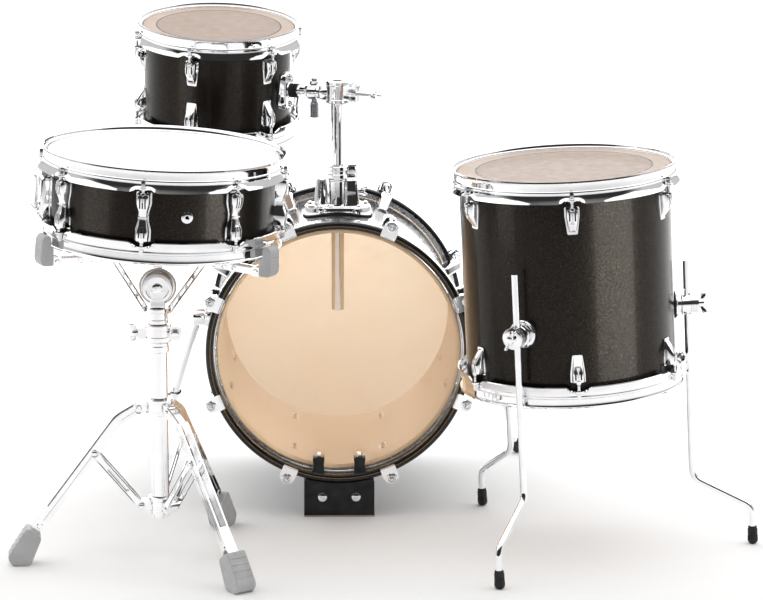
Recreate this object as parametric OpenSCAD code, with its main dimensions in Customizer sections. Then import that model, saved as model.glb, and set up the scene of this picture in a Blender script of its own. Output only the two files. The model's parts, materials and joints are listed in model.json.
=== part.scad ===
// Four-drum acoustic kit: bass drum with tom mount, rack tom, floor tom, snare drum and its stand.
// +X is the player's right, +Y runs from the player to the audience, +Z is up.
// The origin is the middle of the riser's base plate on the floor.

/* [Bass drum] */
// Outer radius of the bass shell
bass_r = 203.2; // [190:0.1:215]
// Depth of the bass shell
bass_depth = 355.6; // [330:0.1:380]
// Height of the bass drum's axis above the floor
bass_z = 278; // [272:1:290]
// Outer radius of the wooden counter hoops
wood_hoop_r = 220; // [218:0.5:224]
// Width of the riser plate
riser_w = 117; // [100:1:130]

/* [Rack tom] */
// Outer radius of the rack tom's shell
rack_r = 127; // [120:0.1:130]
// Depth of the rack tom's shell
rack_depth = 178; // [165:1:185]
// Centre of the rack tom's shell
rack_pos = [-204, 270, 702];
// Lean of the rack tom about X and about Y
rack_lean = [8.1, 1.8, 0];

/* [Floor tom] */
// Outer radius of the floor tom's shell
floor_r = 166; // [160:0.1:168]
// Depth of the floor tom's shell
floor_depth = 337; // [320:1:345]
// Point on the floor under the floor tom's axis
floor_pos = [384, -200, 0];
// Lean of the floor tom about X and about Y
floor_lean = [1.3, -2.96, 0];
// Height of the lower bearing edge along the floor tom's axis
floor_edge_z = 281; // [275:1:290]

/* [Snare drum and stand] */
// Outer radius of the snare shell
snare_r = 177.8; // [174:0.1:180]
// Depth of the snare shell
snare_depth = 127; // [120:1:135]
// Point on the floor under the stand's tube
stand_pos = [-284, -270, 0];
// Height of the tilter's pivot
tilt_z = 438; // [432:1:445]
// Lean of the basket about X and about Y
snare_lean = [2.3, 3.15, 0];
// Turn of the tripod about the tube
tripod_turn = 65.7; // [60:0.1:70]

/* [Hardware] */
// Radius of the tom mount's post
post_r = 11.1; // [10:0.1:12]
// Radial clearance of every running fit
fit = 0.05; // [0.03:0.01:0.1]
// Radius of a tension rod
rod_r = 2.7; // [2.5:0.1:3]
// Radius of a floor tom leg
leg_r = 5.25; // [5:0.05:6]

/* [Hidden] */
$fn = 96;
shell_t = 7;
rim_h = 9;              // rim of a flanged hoop above its bearing edge
ear_out = 13.5;         // tension rod's distance outside the shell
flange_z = -20;         // underside of a flanged hoop's ear
flange_t = 2;
ear_proud = 0.3;        // an ear stands proud of the flange by this on each side
hoop_front_y = -25;     // player-side face of the bass drum
wood_hoop_w = 38;
edge_in = 28.7;         // bass bearing edge behind the hoop's face
bass_edge_y = hoop_front_y + edge_in;
bass_rear_y = bass_edge_y + bass_depth;
claw_rod_r = 229;       // circle of the bass tension rods
post_y = 181.5;
mount_top_z = 538;      // top of the mount's towers
clamp_z = 684;          // height of the tom arm
arm_turn = atan2(rack_pos.y - post_y, rack_pos.x);
arm_end = norm([rack_pos.x, rack_pos.y - post_y]) - rack_r;   // from the post's axis to the rack shell
spur_top = [240, 177, 300];
spur_tip = [324, 406, 9];
spur_len = norm(spur_tip - spur_top);
basket_pos = [-284, -234, tilt_z];
basket_angles = [90, 210, 330];
snare_edge_z = 81;      // lower bearing edge above the tilter's pivot
ear_top = flange_z + flange_t + ear_proud;
arm_pivot = [20, 49];
strut_foot = [15, -44];
strut_head = [78, 46];
leg_pin = [32, 247];
leg_knee = [66, 226];
leg_end = [197.4, 53.2];
brace_pin = [30, 90];
brace_head = [102.5, 178];
tube_r = 14;
height_r = 11;
leg_ring_r = 187;       // floor tom leg's distance from the drum's axis
leg_foot_r = 282;
bracket_z = 388;
snare_gate = 196;       // polar angle of the strainer
lever_pivot = [snare_r + 22, 44];
lean_x = sin(-floor_lean.y);
lean_y = sin(floor_lean.x);
rack_first = 252;       // polar angle of each drum's first tension rod
floor_first = 269;
snare_first = 264;

// ---- shared shapes ----

function unit(v) = v / norm(v);
function polar(r, a) = [r * cos(a), r * sin(a)];

// Tube of wall t standing on z = 0
module tube(r, t, h) {
    difference() {
        cylinder(r = r, h = h);
        translate([0, 0, -1]) cylinder(r = r - t, h = h + 2);
    }
}

// Flat bar from p to q with round ends a little wider than the bar
module bar2d(p, q, w) {
    d = q - p;
    translate(p) rotate(atan2(d.y, d.x)) translate([0, -w / 2]) square([norm(d), w]);
    translate(p) circle(d = w + 0.4);
    translate(q) circle(d = w + 0.4);
}

// Plate in the XZ plane between y = y0 and y = y1
module side_plate(y0, y1) {
    translate([0, y1, 0]) rotate([90, 0, 0]) linear_extrude(y1 - y0) children();
}

// Pin along Y through the point p of the XZ plane
module cross_pin(p, r, y0, y1) {
    translate([p.x, y1, p.y]) rotate([90, 0, 0]) cylinder(r = r, h = y1 - y0);
}

// Round rod through a list of points, with elbows a little fuller than the rod
module bent_rod(points, r) {
    for (i = [0 : len(points) - 2]) {
        d = points[i + 1] - points[i];
        translate(points[i])
            rotate([0, acos(d.z / norm(d)), atan2(d.y, d.x)]) cylinder(r = r, h = norm(d), $fn = 48);
    }
    for (i = [1 : len(points) - 2]) translate(points[i]) sphere(r = r + 0.25, $fn = 48);
}

// Copies around Z
module ring_of(n, first) {
    for (i = [0 : n - 1]) rotate(first + i * 360 / n) children();
}

// Copies at both ends of a drum: z = 0 lies on each bearing edge and +Z points out of the drum
module at_both_edges(depth) {
    translate([0, 0, depth]) children();
    mirror([0, 0, 1]) children();
}

// ---- placing the groups ----

module at_bass() {
    translate([0, bass_edge_y, bass_z]) rotate([-90, 0, 0]) children();
}

module at_rack() {
    translate(rack_pos) rotate(rack_lean) translate([0, 0, -rack_depth / 2]) children();
}

module at_floor() {
    translate(floor_pos) rotate(floor_lean) children();
}

module at_basket() {
    translate(basket_pos) rotate(snare_lean) children();
}

module at_snare() {
    at_basket() translate([0, 0, snare_edge_z]) children();
}

module at_tripod(i) {
    translate(stand_pos) rotate(tripod_turn + i * 120) children();
}

// ---- drums ----

module shell(r, depth) {
    tube(r, shell_t, depth);
}

// Head: aluminium flesh hoop round the shell and a film over the bearing edge
module head(r) {
    rotate_extrude() polygon([[0, 0], [r + 0.8, 0], [r + 0.8, -9], [r + 6.2, -9], [r + 6.2, 0.5], [0, 0.5]]);
}

// Pressed steel hoop with a lip, a collar, a bead over the flesh hoop and an ear at each rod
module flanged_hoop(r, n, first) {
    difference() {
        union() {
            rotate_extrude() polygon([
                [r + 3.5, 0.7], [r + 6.6, 0.7], [r + 6.6, flange_z], [r + 13, flange_z],
                [r + 13, flange_z + flange_t], [r + 8.6, flange_z + flange_t], [r + 8.6, 7],
                [r + 12.6, 7], [r + 12.6, rim_h], [r + 6.6, rim_h], [r + 6.6, 2.4], [r + 3.5, 2.4]]);
            ring_of(n, first) translate([r + ear_out, 0, flange_z - ear_proud])
                cylinder(r = 6.5, h = flange_t + 2 * ear_proud, $fn = 32);
        }
        ring_of(n, first) translate([r + ear_out, 0, flange_z - 1]) cylinder(r = rod_r + 0.3, h = 4, $fn = 24);
    }
}

// Tension rods of one hoop, each with a washer and a square key head; reach is the rod's depth
module rods(r, n, first, reach) {
    ring_of(n, first) translate([r + ear_out, 0, 0]) {
        translate([0, 0, -reach]) cylinder(r = rod_r, h = reach + ear_top, $fn = 24);
        translate([0, 0, ear_top]) cylinder(r = 4.7, h = 1.4, $fn = 24);
        translate([-3.1, -3.1, ear_top + 1.4]) cube([6.2, 6.2, 9]);
    }
}

// Tapered lug casting under one hoop; its rod enters at z = -34
module lugs(r, n, first) {
    ring_of(n, first) difference() {
        side_plate(-11, 11) polygon([
            [r + 0.1, -33], [r + 17, -33], [r + 19, -36], [r + 19, -46], [r + 9, -70], [r + 0.1, -72]]);
        translate([r + ear_out, 0, -60]) cylinder(r = rod_r + 0.15, h = 40, $fn = 24);
    }
}

// Double-ended lug of the snare drum, waisted in the middle
module bow_tie_lugs(r, n, first, depth) {
    ring_of(n, first) difference() {
        translate([r + 0.1, 0, depth / 2]) rotate([90, 0, 90]) linear_extrude(19) polygon([
            [-12, 36], [-12, 24], [-7, 8], [-7, -8], [-12, -24], [-12, -36],
            [12, -36], [12, -24], [7, -8], [7, 8], [12, 24], [12, 36]]);
        for (s = [-1, 1]) translate([r + ear_out, 0, depth / 2 + s * 30])
            cylinder(r = rod_r + 0.15, h = 34, center = true, $fn = 24);
    }
}

// ---- bass drum ----

module bass_shell() {
    color("#1c1916") difference() {
        at_bass() shell(bass_r, bass_depth);
        translate([0, post_y, bass_z]) cylinder(r = 13, h = 300);
    }
}

module bass_heads() {
    color("#e8d2ac") at_bass() at_both_edges(bass_depth)
        rotate_extrude() polygon([[0, 0], [203.9, 0], [203.9, -8], [212.9, -8], [212.9, 1.5], [203.9, 1.5],
            [203.9, 0.5], [0, 0.5]]);
}

module bass_hoops() {
    color("#0d0d0e") at_bass() at_both_edges(bass_depth)
        rotate_extrude() polygon([[207, 1.6], [213.2, 1.6], [213.2, edge_in - wood_hoop_w],
            [wood_hoop_r, edge_in - wood_hoop_w], [wood_hoop_r, edge_in], [207, edge_in]]);
}

module bass_lugs() {
    color("silver") at_bass() at_both_edges(bass_depth) ring_of(8, 22.5) difference() {
        side_plate(-11, 11) polygon([[bass_r + 0.1, -50], [232, -50], [235, -54], [235, -64],
            [220, -86], [bass_r + 0.1, -90]]);
        translate([claw_rod_r, 0, -75]) cylinder(r = rod_r + 0.15, h = 30, $fn = 24);
    }
}

// Claw: a hooked plate over the hoop with a boss for the rod
module bass_claws() {
    color("silver") at_bass() at_both_edges(bass_depth) ring_of(8, 22.5) difference() {
        union() {
            side_plate(-13, 13) polygon([[210, edge_in + 0.2], [wood_hoop_r + 0.2, edge_in + 0.2],
                [wood_hoop_r + 0.2, 8], [224, 4], [226, 12], [232, edge_in - 4], [228, edge_in + 3],
                [212, edge_in + 4]]);
            translate([claw_rod_r, 0, 14]) cylinder(r = 7, h = edge_in - 12, $fn = 32);
        }
        translate([claw_rod_r, 0, 0]) cylinder(r = rod_r + 0.3, h = 60, $fn = 24);
    }
}

module bass_tension_rods() {
    color("gainsboro") at_bass() at_both_edges(bass_depth) ring_of(8, 22.5) translate([claw_rod_r, 0, 0]) {
        translate([0, 0, -70]) cylinder(r = rod_r, h = edge_in + 77, $fn = 24);
        translate([0, 0, edge_in + 3.4]) cylinder(r = 5.5, h = 1.6, $fn = 24);
        translate([-3.1, -3.1, edge_in + 5]) cube([6.2, 6.2, 7]);
    }
}

// Screw heads: a pair inside the shell behind every lug, two on the riser and one in each clamp block
module bass_screws() {
    color("silver") {
        at_bass() at_both_edges(bass_depth) ring_of(8, 22.5) for (z = [-60, -80])
            translate([bass_r - shell_t - 4.2, 0, z]) rotate([0, 90, 0]) cylinder(r = 4.5, h = 4, $fn = 24);
        for (x = [-28, 28]) translate([x, hoop_front_y, 34]) rotate([90, 0, 0]) {
            translate([0, 0, 0.1]) cylinder(r = 7, h = 3, $fn = 32);
            translate([0, 0, -8]) cylinder(r = 3, h = 9, $fn = 24);
        }
        for (x = [-34, 34]) translate([x, hoop_front_y + 13, bass_z - 176.8])
            cylinder(r = 6, h = 5, $fn = 32);
    }
}

// Folded plate that stands under the player-side hoop, and the two blocks that pull the hoop down on it
module bass_riser() {
    color("#101010") {
        difference() {
            translate([-riser_w / 2, hoop_front_y, 0]) cube([riser_w, 50, 72]);
            translate([-riser_w, hoop_front_y + 4, 4]) cube([2 * riser_w, 42, 80]);
            translate([0, 60, bass_z]) rotate([90, 0, 0]) cylinder(r = wood_hoop_r + 0.2, h = 120);
            for (x = [-28, 28]) translate([x, 0, 34]) rotate([90, 0, 0]) cylinder(r = 3.3, h = 80, $fn = 24);
        }
        for (x = [-34, 34]) intersection() {
            translate([x - 9, hoop_front_y + 3, bass_z - 210]) cube([18, 20, 33]);
            translate([0, 60, bass_z]) rotate([90, 0, 0]) cylinder(r = 206.8, h = 120);
        }
    }
}

// ---- spurs ----

// Frame with +Z along the right spur from its pivot to its tip
module along_spur() {
    d = unit(spur_tip - spur_top);
    translate(spur_top) rotate([0, acos(d.z), atan2(d.y, d.x)]) children();
}

module spur_bracket() {
    difference() {
        translate([bass_r - 6, spur_top.y - 24, spur_top.z - 26]) cube([20, 48, 52]);
        translate([0, 0, bass_z]) rotate([-90, 0, 0]) cylinder(r = bass_r + 0.2, h = 400);
    }
    translate([bass_r + 12, spur_top.y, spur_top.z]) rotate([0, 90, 0]) cylinder(r = 17, h = 11);
}

module spur_brackets() {
    color("silver") {
        spur_bracket();
        mirror([1, 0, 0]) spur_bracket();
    }
}

// Knuckle that turns on the bracket, and the outer tube with its collar and wing bolt
module spur_tube() {
    difference() {
        union() {
            translate([bass_r + 23.4, spur_top.y, spur_top.z]) rotate([0, 90, 0]) cylinder(r = 15, h = 22);
            along_spur() cylinder(r = 7.5, h = 0.6 * spur_len);
            along_spur() translate([0, 0, 0.6 * spur_len - 24]) cylinder(r = 10.5, h = 24);
            along_spur() translate([0, 0, 0.6 * spur_len - 12]) rotate([0, -90, 0]) cylinder(r = 3, h = 26);
            along_spur() translate([-32, -2, 0.6 * spur_len - 24]) cube([9, 4, 24]);
        }
        along_spur() translate([0, 0, 24]) cylinder(r = 5 + fit, h = spur_len);
    }
}

module spur_tube_right() {
    color("silver") spur_tube();
}

module spur_tube_left() {
    color("silver") mirror([1, 0, 0]) spur_tube();
}

// Inner rod with its rubber tip
module spur_rod() {
    along_spur() translate([0, 0, 0.28 * spur_len]) cylinder(r = 5, h = 0.72 * spur_len - 18);
    along_spur() translate([0, 0, spur_len - 17.8]) cylinder(r = 8.7, h = 17.8);
    translate(spur_tip) sphere(r = 9);
}

module spur_rod_right() {
    color("gainsboro") spur_rod();
}

module spur_rod_left() {
    color("gainsboro") mirror([1, 0, 0]) spur_rod();
}

// ---- tom mount ----

module oval(w, d) {
    translate([-(w - d) / 2, 0]) circle(d = d);
    translate([(w - d) / 2, 0]) circle(d = d);
    square([w - d, d], center = true);
}

module bass_round(r) {
    translate([0, 0, bass_z]) rotate([-90, 0, 0]) cylinder(r = r, h = 400);
}

module mount_gasket() {
    color("#202020") difference() {
        intersection() {
            translate([0, post_y, 465]) linear_extrude(30) oval(119, 82);
            bass_round(bass_r + 1.6);
        }
        bass_round(bass_r + 0.1);
        translate([0, post_y, 400]) cylinder(r = 13, h = 100);
    }
}

module mount_base() {
    color("silver") difference() {
        translate([0, post_y, 0]) {
            translate([0, 0, 466]) linear_extrude(29) oval(115, 78);
            translate([0, 0, 466]) cylinder(r = 16, h = mount_top_z - 466);
            translate([-26, 0, 490]) cylinder(r1 = 13, r2 = 9, h = mount_top_z - 490);
            translate([12, -11, 490]) cube([24, 22, mount_top_z - 492]);
        }
        bass_round(bass_r + 1.7);
        translate([0, post_y, 400]) cylinder(r = post_r + fit, h = 200);
        translate([20, post_y, 516]) rotate([0, 90, 0]) cylinder(r = 4 + fit, h = 30);
    }
}

// Wing screw: shank along +Z from z = -shank, hub and two wings above z = 0
module wing_screw(r, shank, span) {
    translate([0, 0, -shank]) cylinder(r = r, h = shank + 1, $fn = 32);
    cylinder(r = r + 2.5, h = 9, $fn = 32);
    translate([0, 2, 3]) rotate([90, 0, 0]) linear_extrude(4) {
        bar2d([-span / 2 + 5, 9], [0, 3], 8);
        bar2d([0, 3], [span / 2 - 5, 9], 8);
    }
}

module mount_wing_screw() {
    color("gainsboro") translate([37, post_y, 516]) rotate([0, 90, 0]) wing_screw(4, 14, 38);
}

// Post with the memory lock clamped on it
module mount_post() {
    color("gainsboro") translate([0, post_y, 0]) difference() {
        union() {
            translate([0, 0, 311]) cylinder(r = post_r, h = 389.7);
            translate([0, 0, mount_top_z + 0.3]) cylinder(r = 19, h = 22);
            translate([12, -9, mount_top_z + 0.3]) cube([18, 18, 22]);
        }
        translate([0, 0, 300]) cylinder(r = post_r - 1.8, h = 420);
    }
}

// Frame at the clamp with +X along the arm towards the rack tom
module at_arm() {
    translate([0, post_y, clamp_z]) rotate(arm_turn) children();
}

// Swivel clamp with the tilting arm, and the ribbed bolt that locks the tilt
module tom_clamp() {
    color("silver") at_arm() {
        difference() {
            union() {
                translate([0, 0, -17.5]) cylinder(r = 20, h = 38);
                translate([-38, -11, -16]) cube([40, 22, 33]);
                rotate([0, 90, 0]) cylinder(r = 14, h = 52);
                translate([52, 0, 0]) rotate([0, 90, 0]) cylinder(r = 6.5, h = arm_end - 64);
            }
            translate([0, 0, -30]) cylinder(r = post_r + fit, h = 47);
            translate([-60, -1.2, -30]) cube([50, 2.4, 60]);
            translate([-80, 0, 0]) rotate([0, 90, 0]) cylinder(r = 4 + fit, h = 65);
            translate([42, 0, -40]) cylinder(r = 5.1, h = 80);
        }
        translate([42, 0, -44]) cylinder(r = 5, h = 67);
        translate([42, 0, -44]) cylinder(r = 7.5, h = 25, $fn = 12);
    }
}

module clamp_wing_nut() {
    color("gainsboro") at_arm() translate([-62, 0, 0]) rotate([0, -90, 0]) wing_screw(4, 40, 34);
}

// Bracket on the rack tom's shell with the rubber nut that turns on the arm
module rack_bracket() {
    color("silver") {
        at_arm() difference() {
            translate([arm_end - 24, 0, 0]) rotate([0, 90, 0]) cylinder(r = 12, h = 34);
            translate([arm_end - 40, 0, 0]) rotate([0, 90, 0]) cylinder(r = 6.5 + fit, h = 32);
            rack_core();
        }
        difference() {
            at_arm() translate([arm_end - 6, -19, -32]) cube([16, 38, 64]);
            at_arm() translate([arm_end - 40, 0, 0]) rotate([0, 90, 0]) cylinder(r = 12.1, h = 80);
            at_rack() translate([0, 0, -100]) cylinder(r = rack_r + 0.1, h = 400);
        }
    }
}

// The rack tom's outer cylinder, in the arm's frame
module rack_core() {
    rotate(-arm_turn) translate([0, -post_y, -clamp_z]) at_rack()
        translate([0, 0, -100]) cylinder(r = rack_r + 0.1, h = 400);
}

// ---- rack tom ----

module rack_shell() {
    color("#1c1916") at_rack() shell(rack_r, rack_depth);
}

module rack_heads() {
    color("#c9ab84") at_rack() at_both_edges(rack_depth) head(rack_r);
}

module rack_hoops() {
    color("silver") at_rack() at_both_edges(rack_depth) flanged_hoop(rack_r, 6, rack_first);
}

module rack_lugs() {
    color("silver") at_rack() at_both_edges(rack_depth) lugs(rack_r, 6, rack_first);
}

module rack_tension_rods() {
    color("gainsboro") at_rack() at_both_edges(rack_depth) rods(rack_r, 6, rack_first, 58);
}

// ---- floor tom ----

module on_floor_edge() {
    at_floor() translate([0, 0, floor_edge_z]) children();
}

module floor_shell() {
    color("#1c1916") on_floor_edge() shell(floor_r, floor_depth);
}

module floor_heads() {
    color("#c9ab84") on_floor_edge() at_both_edges(floor_depth) head(floor_r);
}

module floor_hoops() {
    color("silver") on_floor_edge() at_both_edges(floor_depth) flanged_hoop(floor_r, 6, floor_first);
}

module floor_lugs() {
    color("silver") on_floor_edge() at_both_edges(floor_depth) lugs(floor_r, 6, floor_first);
}

module floor_tension_rods() {
    color("gainsboro") on_floor_edge() at_both_edges(floor_depth) rods(floor_r, 6, floor_first, 58);
}

// Leg bracket: base on the shell, eye round the leg and a ribbed boss for the wing screw
module leg_brackets() {
    color("silver") at_floor() ring_of(3, 0) translate([0, 0, bracket_z]) difference() {
        union() {
            translate([floor_r - 8, -20, -26]) cube([14, 40, 52]);
            translate([floor_r - 2, -12, -15]) cube([leg_ring_r - floor_r + 12, 24, 30]);
            translate([leg_ring_r + 4, 0, 0]) rotate([0, 90, 0]) cylinder(r = 17, h = 14);
        }
        translate([0, 0, -50]) cylinder(r = floor_r + 0.1, h = 100);
        translate([leg_ring_r, 0, -50]) cylinder(r = leg_r + fit, h = 100);
        translate([leg_ring_r + leg_r + 1, 0, 0]) rotate([0, 90, 0]) cylinder(r = 4 + fit, h = 30);
    }
}

// Height of the floor under a foot at polar angle a, along the leaning axis
function floor_drop(a) = -(lean_x * leg_foot_r * cos(a) + lean_y * leg_foot_r * sin(a));

// Bent leg with its rubber foot; the foot's ball touches the floor
module floor_leg(a) {
    color("gainsboro") at_floor() rotate(a) translate([0, 0, floor_drop(a)]) {
        bent_rod([[leg_ring_r, 0, 472], [leg_ring_r, 0, 116], [leg_foot_r, 0, 62], [leg_foot_r, 0, 28.3]], leg_r);
        translate([leg_foot_r, 0, 8]) cylinder(r1 = 8, r2 = 7, h = 20, $fn = 48);
        translate([leg_foot_r, 0, 8]) sphere(r = 8, $fn = 48);
    }
}

module leg_wing(a) {
    color("gainsboro") at_floor() rotate(a) translate([leg_ring_r + 18.5, 0, bracket_z])
        rotate([0, 90, 0]) wing_screw(4, 11, 38);
}

module leg_right() {
    floor_leg(0);
}

module leg_back() {
    floor_leg(120);
}

module leg_front() {
    floor_leg(240);
}

module leg_wing_right() {
    leg_wing(0);
}

module leg_wing_back() {
    leg_wing(120);
}

module leg_wing_front() {
    leg_wing(240);
}

// ---- snare stand ----

// Lower hub, base tube and the collar that grips the height tube
module stand_tube() {
    color("whitesmoke") translate(stand_pos) difference() {
        union() {
            translate([0, 0, 70]) cylinder(r = tube_r, h = 268);
            translate([0, 0, 76]) cylinder(r = 19, h = 28);
            ring_of(3, tripod_turn) translate([10, -9, 82]) cube([26, 18, 16]);
            translate([0, 0, 336]) cylinder(r = 17, h = 20);
            translate([0, 0, 353]) cylinder(r = 21, h = 28);
            translate([-31, -9, 358]) cube([20, 18, 18]);
            translate([14, -8, 356]) cube([22, 16, 22]);
        }
        translate([0, 0, 60]) cylinder(r = tube_r - 1.8, h = 276);
        translate([0, 0, 60]) cylinder(r = height_r + fit, h = 400);
        ring_of(3, tripod_turn) cross_pin(brace_pin, 3 + fit, -30, 30);
        translate([-40, 0, 367]) rotate([0, 90, 0]) cylinder(r = 4 + fit, h = 27);
    }
}

// Upper hub that slides on the base tube and carries the legs
module tripod_slider() {
    color("whitesmoke") translate(stand_pos) difference() {
        union() {
            translate([0, 0, 236]) cylinder(r = 22, h = 26);
            ring_of(3, tripod_turn) translate([10, -5.5, 239]) cube([28, 11, 16]);
        }
        translate([0, 0, 200]) cylinder(r = tube_r + fit, h = 100);
        ring_of(3, tripod_turn) cross_pin(leg_pin, 3 + fit, -30, 30);
    }
}

// Leg of two straps with a spacer and a rubber foot
module tripod_leg(i) {
    color("whitesmoke") at_tripod(i) {
        for (y = [-9.2, 6.2]) side_plate(y, y + 3) {
            bar2d(leg_pin, leg_knee, 15);
            difference() {
                bar2d(leg_knee, leg_end, 15);
                leg_cut();
            }
        }
        cross_pin(leg_pin, 3, -9.2, 9.2);
        side_plate(-7, 7) difference() {
            bar2d(leg_knee + 0.8 * (leg_end - leg_knee), leg_end, 15);
            leg_cut();
        }
        side_plate(-17, 17) polygon([[209.9, 62], [187.4, 45.1], [206, 0], [234, 0], [242, 14]]);
    }
}

// Everything beyond the end of a leg's straps
module leg_cut() {
    d = unit(leg_end - leg_knee);
    translate(leg_end) rotate(atan2(d.y, d.x)) translate([0, -30]) square([60, 60]);
}

// Brace of two straps outside the leg's, with a rivet head on each side
module tripod_brace(i) {
    color("whitesmoke") at_tripod(i) {
        for (y = [-12.2, 9.7]) side_plate(y, y + 2.5) bar2d(brace_pin, brace_head, 12);
        cross_pin(brace_pin, 3, -12.9, 12.9);
        for (y = [-13.8, 11.1]) cross_pin(brace_head, 4, y, y + 2.7);
    }
}

module tripod_leg_a() {
    tripod_leg(0);
}

module tripod_leg_b() {
    tripod_leg(1);
}

module tripod_leg_c() {
    tripod_leg(2);
}

module tripod_brace_a() {
    tripod_brace(0);
}

module tripod_brace_b() {
    tripod_brace(1);
}

module tripod_brace_c() {
    tripod_brace(2);
}

// Height tube with the fixed half of the tilter
module height_tube() {
    color("whitesmoke") translate(stand_pos) {
        translate([0, 0, 110]) cylinder(r = height_r, h = 290);
        translate([0, 0, 381.4]) cylinder(r = 16.5, h = 25);
        translate([-12, -7.5, 400]) cube([24, 15, 38]);
        translate([0, 7.5, tilt_z]) rotate([90, 0, 0]) cylinder(r = 24, h = 15);
    }
}

module height_wing() {
    color("whitesmoke") translate([stand_pos.x - 31.5, stand_pos.y, 367]) rotate([0, -90, 0])
        wing_screw(4, 15, 40);
}

// Moving half of the tilter, the basket's threaded rod and its upper hub
module basket_frame() {
    color("whitesmoke") {
        translate([basket_pos.x, stand_pos.y + 17, tilt_z]) rotate([90, 0, 0]) cylinder(r = 29, h = 9.1);
        translate([basket_pos.x - 9, stand_pos.y + 16, tilt_z - 11]) cube([18, 26, 22]);
        at_basket() {
            translate([0, 0, -86]) cylinder(r = 5, h = 130);
            difference() {
                union() {
                    translate([0, 0, 40]) cylinder(r = 12, h = 17);
                    for (a = basket_angles) rotate(a) translate([5, -4, 42]) cube([21, 8, 14]);
                }
                for (a = basket_angles) rotate(a) cross_pin(arm_pivot, 2.5 + fit, -20, 20);
            }
        }
    }
}

// Strut of one arm: which side of the arm it runs on
function strut_side(a) = a == 210 ? -1 : 1;

// Basket nut with the struts that open and close the arms
module basket_struts() {
    color("whitesmoke") at_basket() {
        difference() {
            union() {
                translate([0, 0, -50]) cylinder(r = 13, h = 12);
                for (a = basket_angles) rotate(a) translate([4, strut_side(a) > 0 ? 2 : -10.6, -49])
                    cube([13, 8.6, 10]);
            }
            translate([0, 0, -60]) cylinder(r = 5 + fit, h = 40);
        }
        for (a = basket_angles) rotate(a) {
            y = strut_side(a) > 0 ? 7.6 : -10.6;
            side_plate(y, y + 3) bar2d(strut_foot, strut_head, 9);
        }
    }
}

// Channel arm with three lightening holes and a rubber grip
module basket_arm(a) {
    color("whitesmoke") at_basket() rotate(a) {
        difference() {
            translate([15, -7, 43]) cube([173, 14, 12]);
            translate([29, -5, 40]) cube([154, 10, 12]);
            translate([0, -4.4, 40]) cube([30, 8.8, 20]);
            for (x = [104, 122, 140]) cross_pin([x, 48], 3.2, -20, 20);
        }
        cross_pin(arm_pivot, 2.5, -7, 7);
        side_plate(-13, 13) polygon([[188.3, 44], [206, 44], [210, 54], [208, 86], [203, 91], [195, 91],
            [193.2, 86], [193.2, 71.7], [188.3, 71.7]]);
    }
}

module basket_arm_a() {
    basket_arm(basket_angles[0]);
}

module basket_arm_b() {
    basket_arm(basket_angles[1]);
}

module basket_arm_c() {
    basket_arm(basket_angles[2]);
}

// ---- snare drum ----

module snare_shell() {
    color("#1c1916") at_snare() difference() {
        shell(snare_r, snare_depth);
        at_vent() cylinder(r = 4.6, h = 20, center = true, $fn = 32);
    }
}

// Frame of the vent in the shell's side, +Z pointing out
module at_vent() {
    rotate(285) translate([snare_r, 0, snare_depth / 2]) rotate([0, 90, 0]) children();
}

module snare_heads() {
    color("white") at_snare() at_both_edges(snare_depth) head(snare_r);
}

// The lower hoop has a gate for the wires' strap at the strainer and at the butt plate
module snare_hoops() {
    color("silver") at_snare() difference() {
        at_both_edges(snare_depth) flanged_hoop(snare_r, 8, snare_first);
        ring_of(2, snare_gate) translate([snare_r + 3, -15, -5]) cube([22, 30, 31]);
    }
}

module snare_lugs() {
    color("silver") at_snare() bow_tie_lugs(snare_r, 8, snare_first, snare_depth);
}

module snare_tension_rods() {
    color("gainsboro") at_snare() at_both_edges(snare_depth) rods(snare_r, 8, snare_first, 42);
}

// Strainer housing with its adjusting knob, butt plate, and the vent's grommet
module snare_fittings() {
    color("silver") at_snare() {
        rotate(snare_gate) {
            side_plate(-14, 14) polygon([[snare_r + 0.7, 26], [snare_r + 12, 26], [snare_r + 16, 34],
                [snare_r + 16, 86], [snare_r + 12, 92], [snare_r + 0.7, 92]]);
            for (y = [-13, 9]) side_plate(y, y + 4) bar2d([snare_r + 12, 44], lever_pivot, 9);
            cross_pin(lever_pivot, 2, -13, 13);
            translate([snare_r + 7, 0, 92]) cylinder(r = 5.5, h = 9, $fn = 48);
        }
        rotate(snare_gate + 180) side_plate(-14, 14) polygon([[snare_r + 0.7, 26], [snare_r + 10, 26],
            [snare_r + 13, 32], [snare_r + 13, 60], [snare_r + 6, 70], [snare_r + 0.7, 70]]);
        at_vent() translate([0, 0, 0.4]) difference() {
            cylinder(r = 9, h = 2.2, $fn = 48);
            translate([0, 0, -1]) cylinder(r = 4.5, h = 5, $fn = 48);
        }
    }
}

// Throw-off lever, hinged near its lower end
module snare_lever() {
    color("silver") at_snare() rotate(snare_gate) difference() {
        union() {
            cross_pin(lever_pivot, 4.4, -8.6, 8.6);
            side_plate(-8, 8) bar2d(lever_pivot + [-1, 4], lever_pivot + [0, 50], 5);
        }
        cross_pin(lever_pivot, 2 + fit, -20, 20);
    }
}

// Twenty wires between two end plates, and the straps to the strainer and the butt plate
module snare_wires() {
    wire_span = 160;
    color("gainsboro") at_snare() rotate(snare_gate) {
        for (i = [0 : 19]) translate([-wire_span, (i - 9.5) * 2.1, -1.5]) rotate([0, 90, 0])
            cylinder(r = 0.6, h = 2 * wire_span, $fn = 16);
        ring_of(2, 0) {
            translate([wire_span - 6, -22, -2.2]) cube([14, 44, 1.4]);
            side_plate(-10, 10) polygon([[wire_span, -1.9], [snare_r + 10, -1.9], [snare_r + 10, 23],
                [snare_r + 9.3, 23], [snare_r + 9.3, -1.2], [wire_span, -1.2]]);
        }
    }
}

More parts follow.
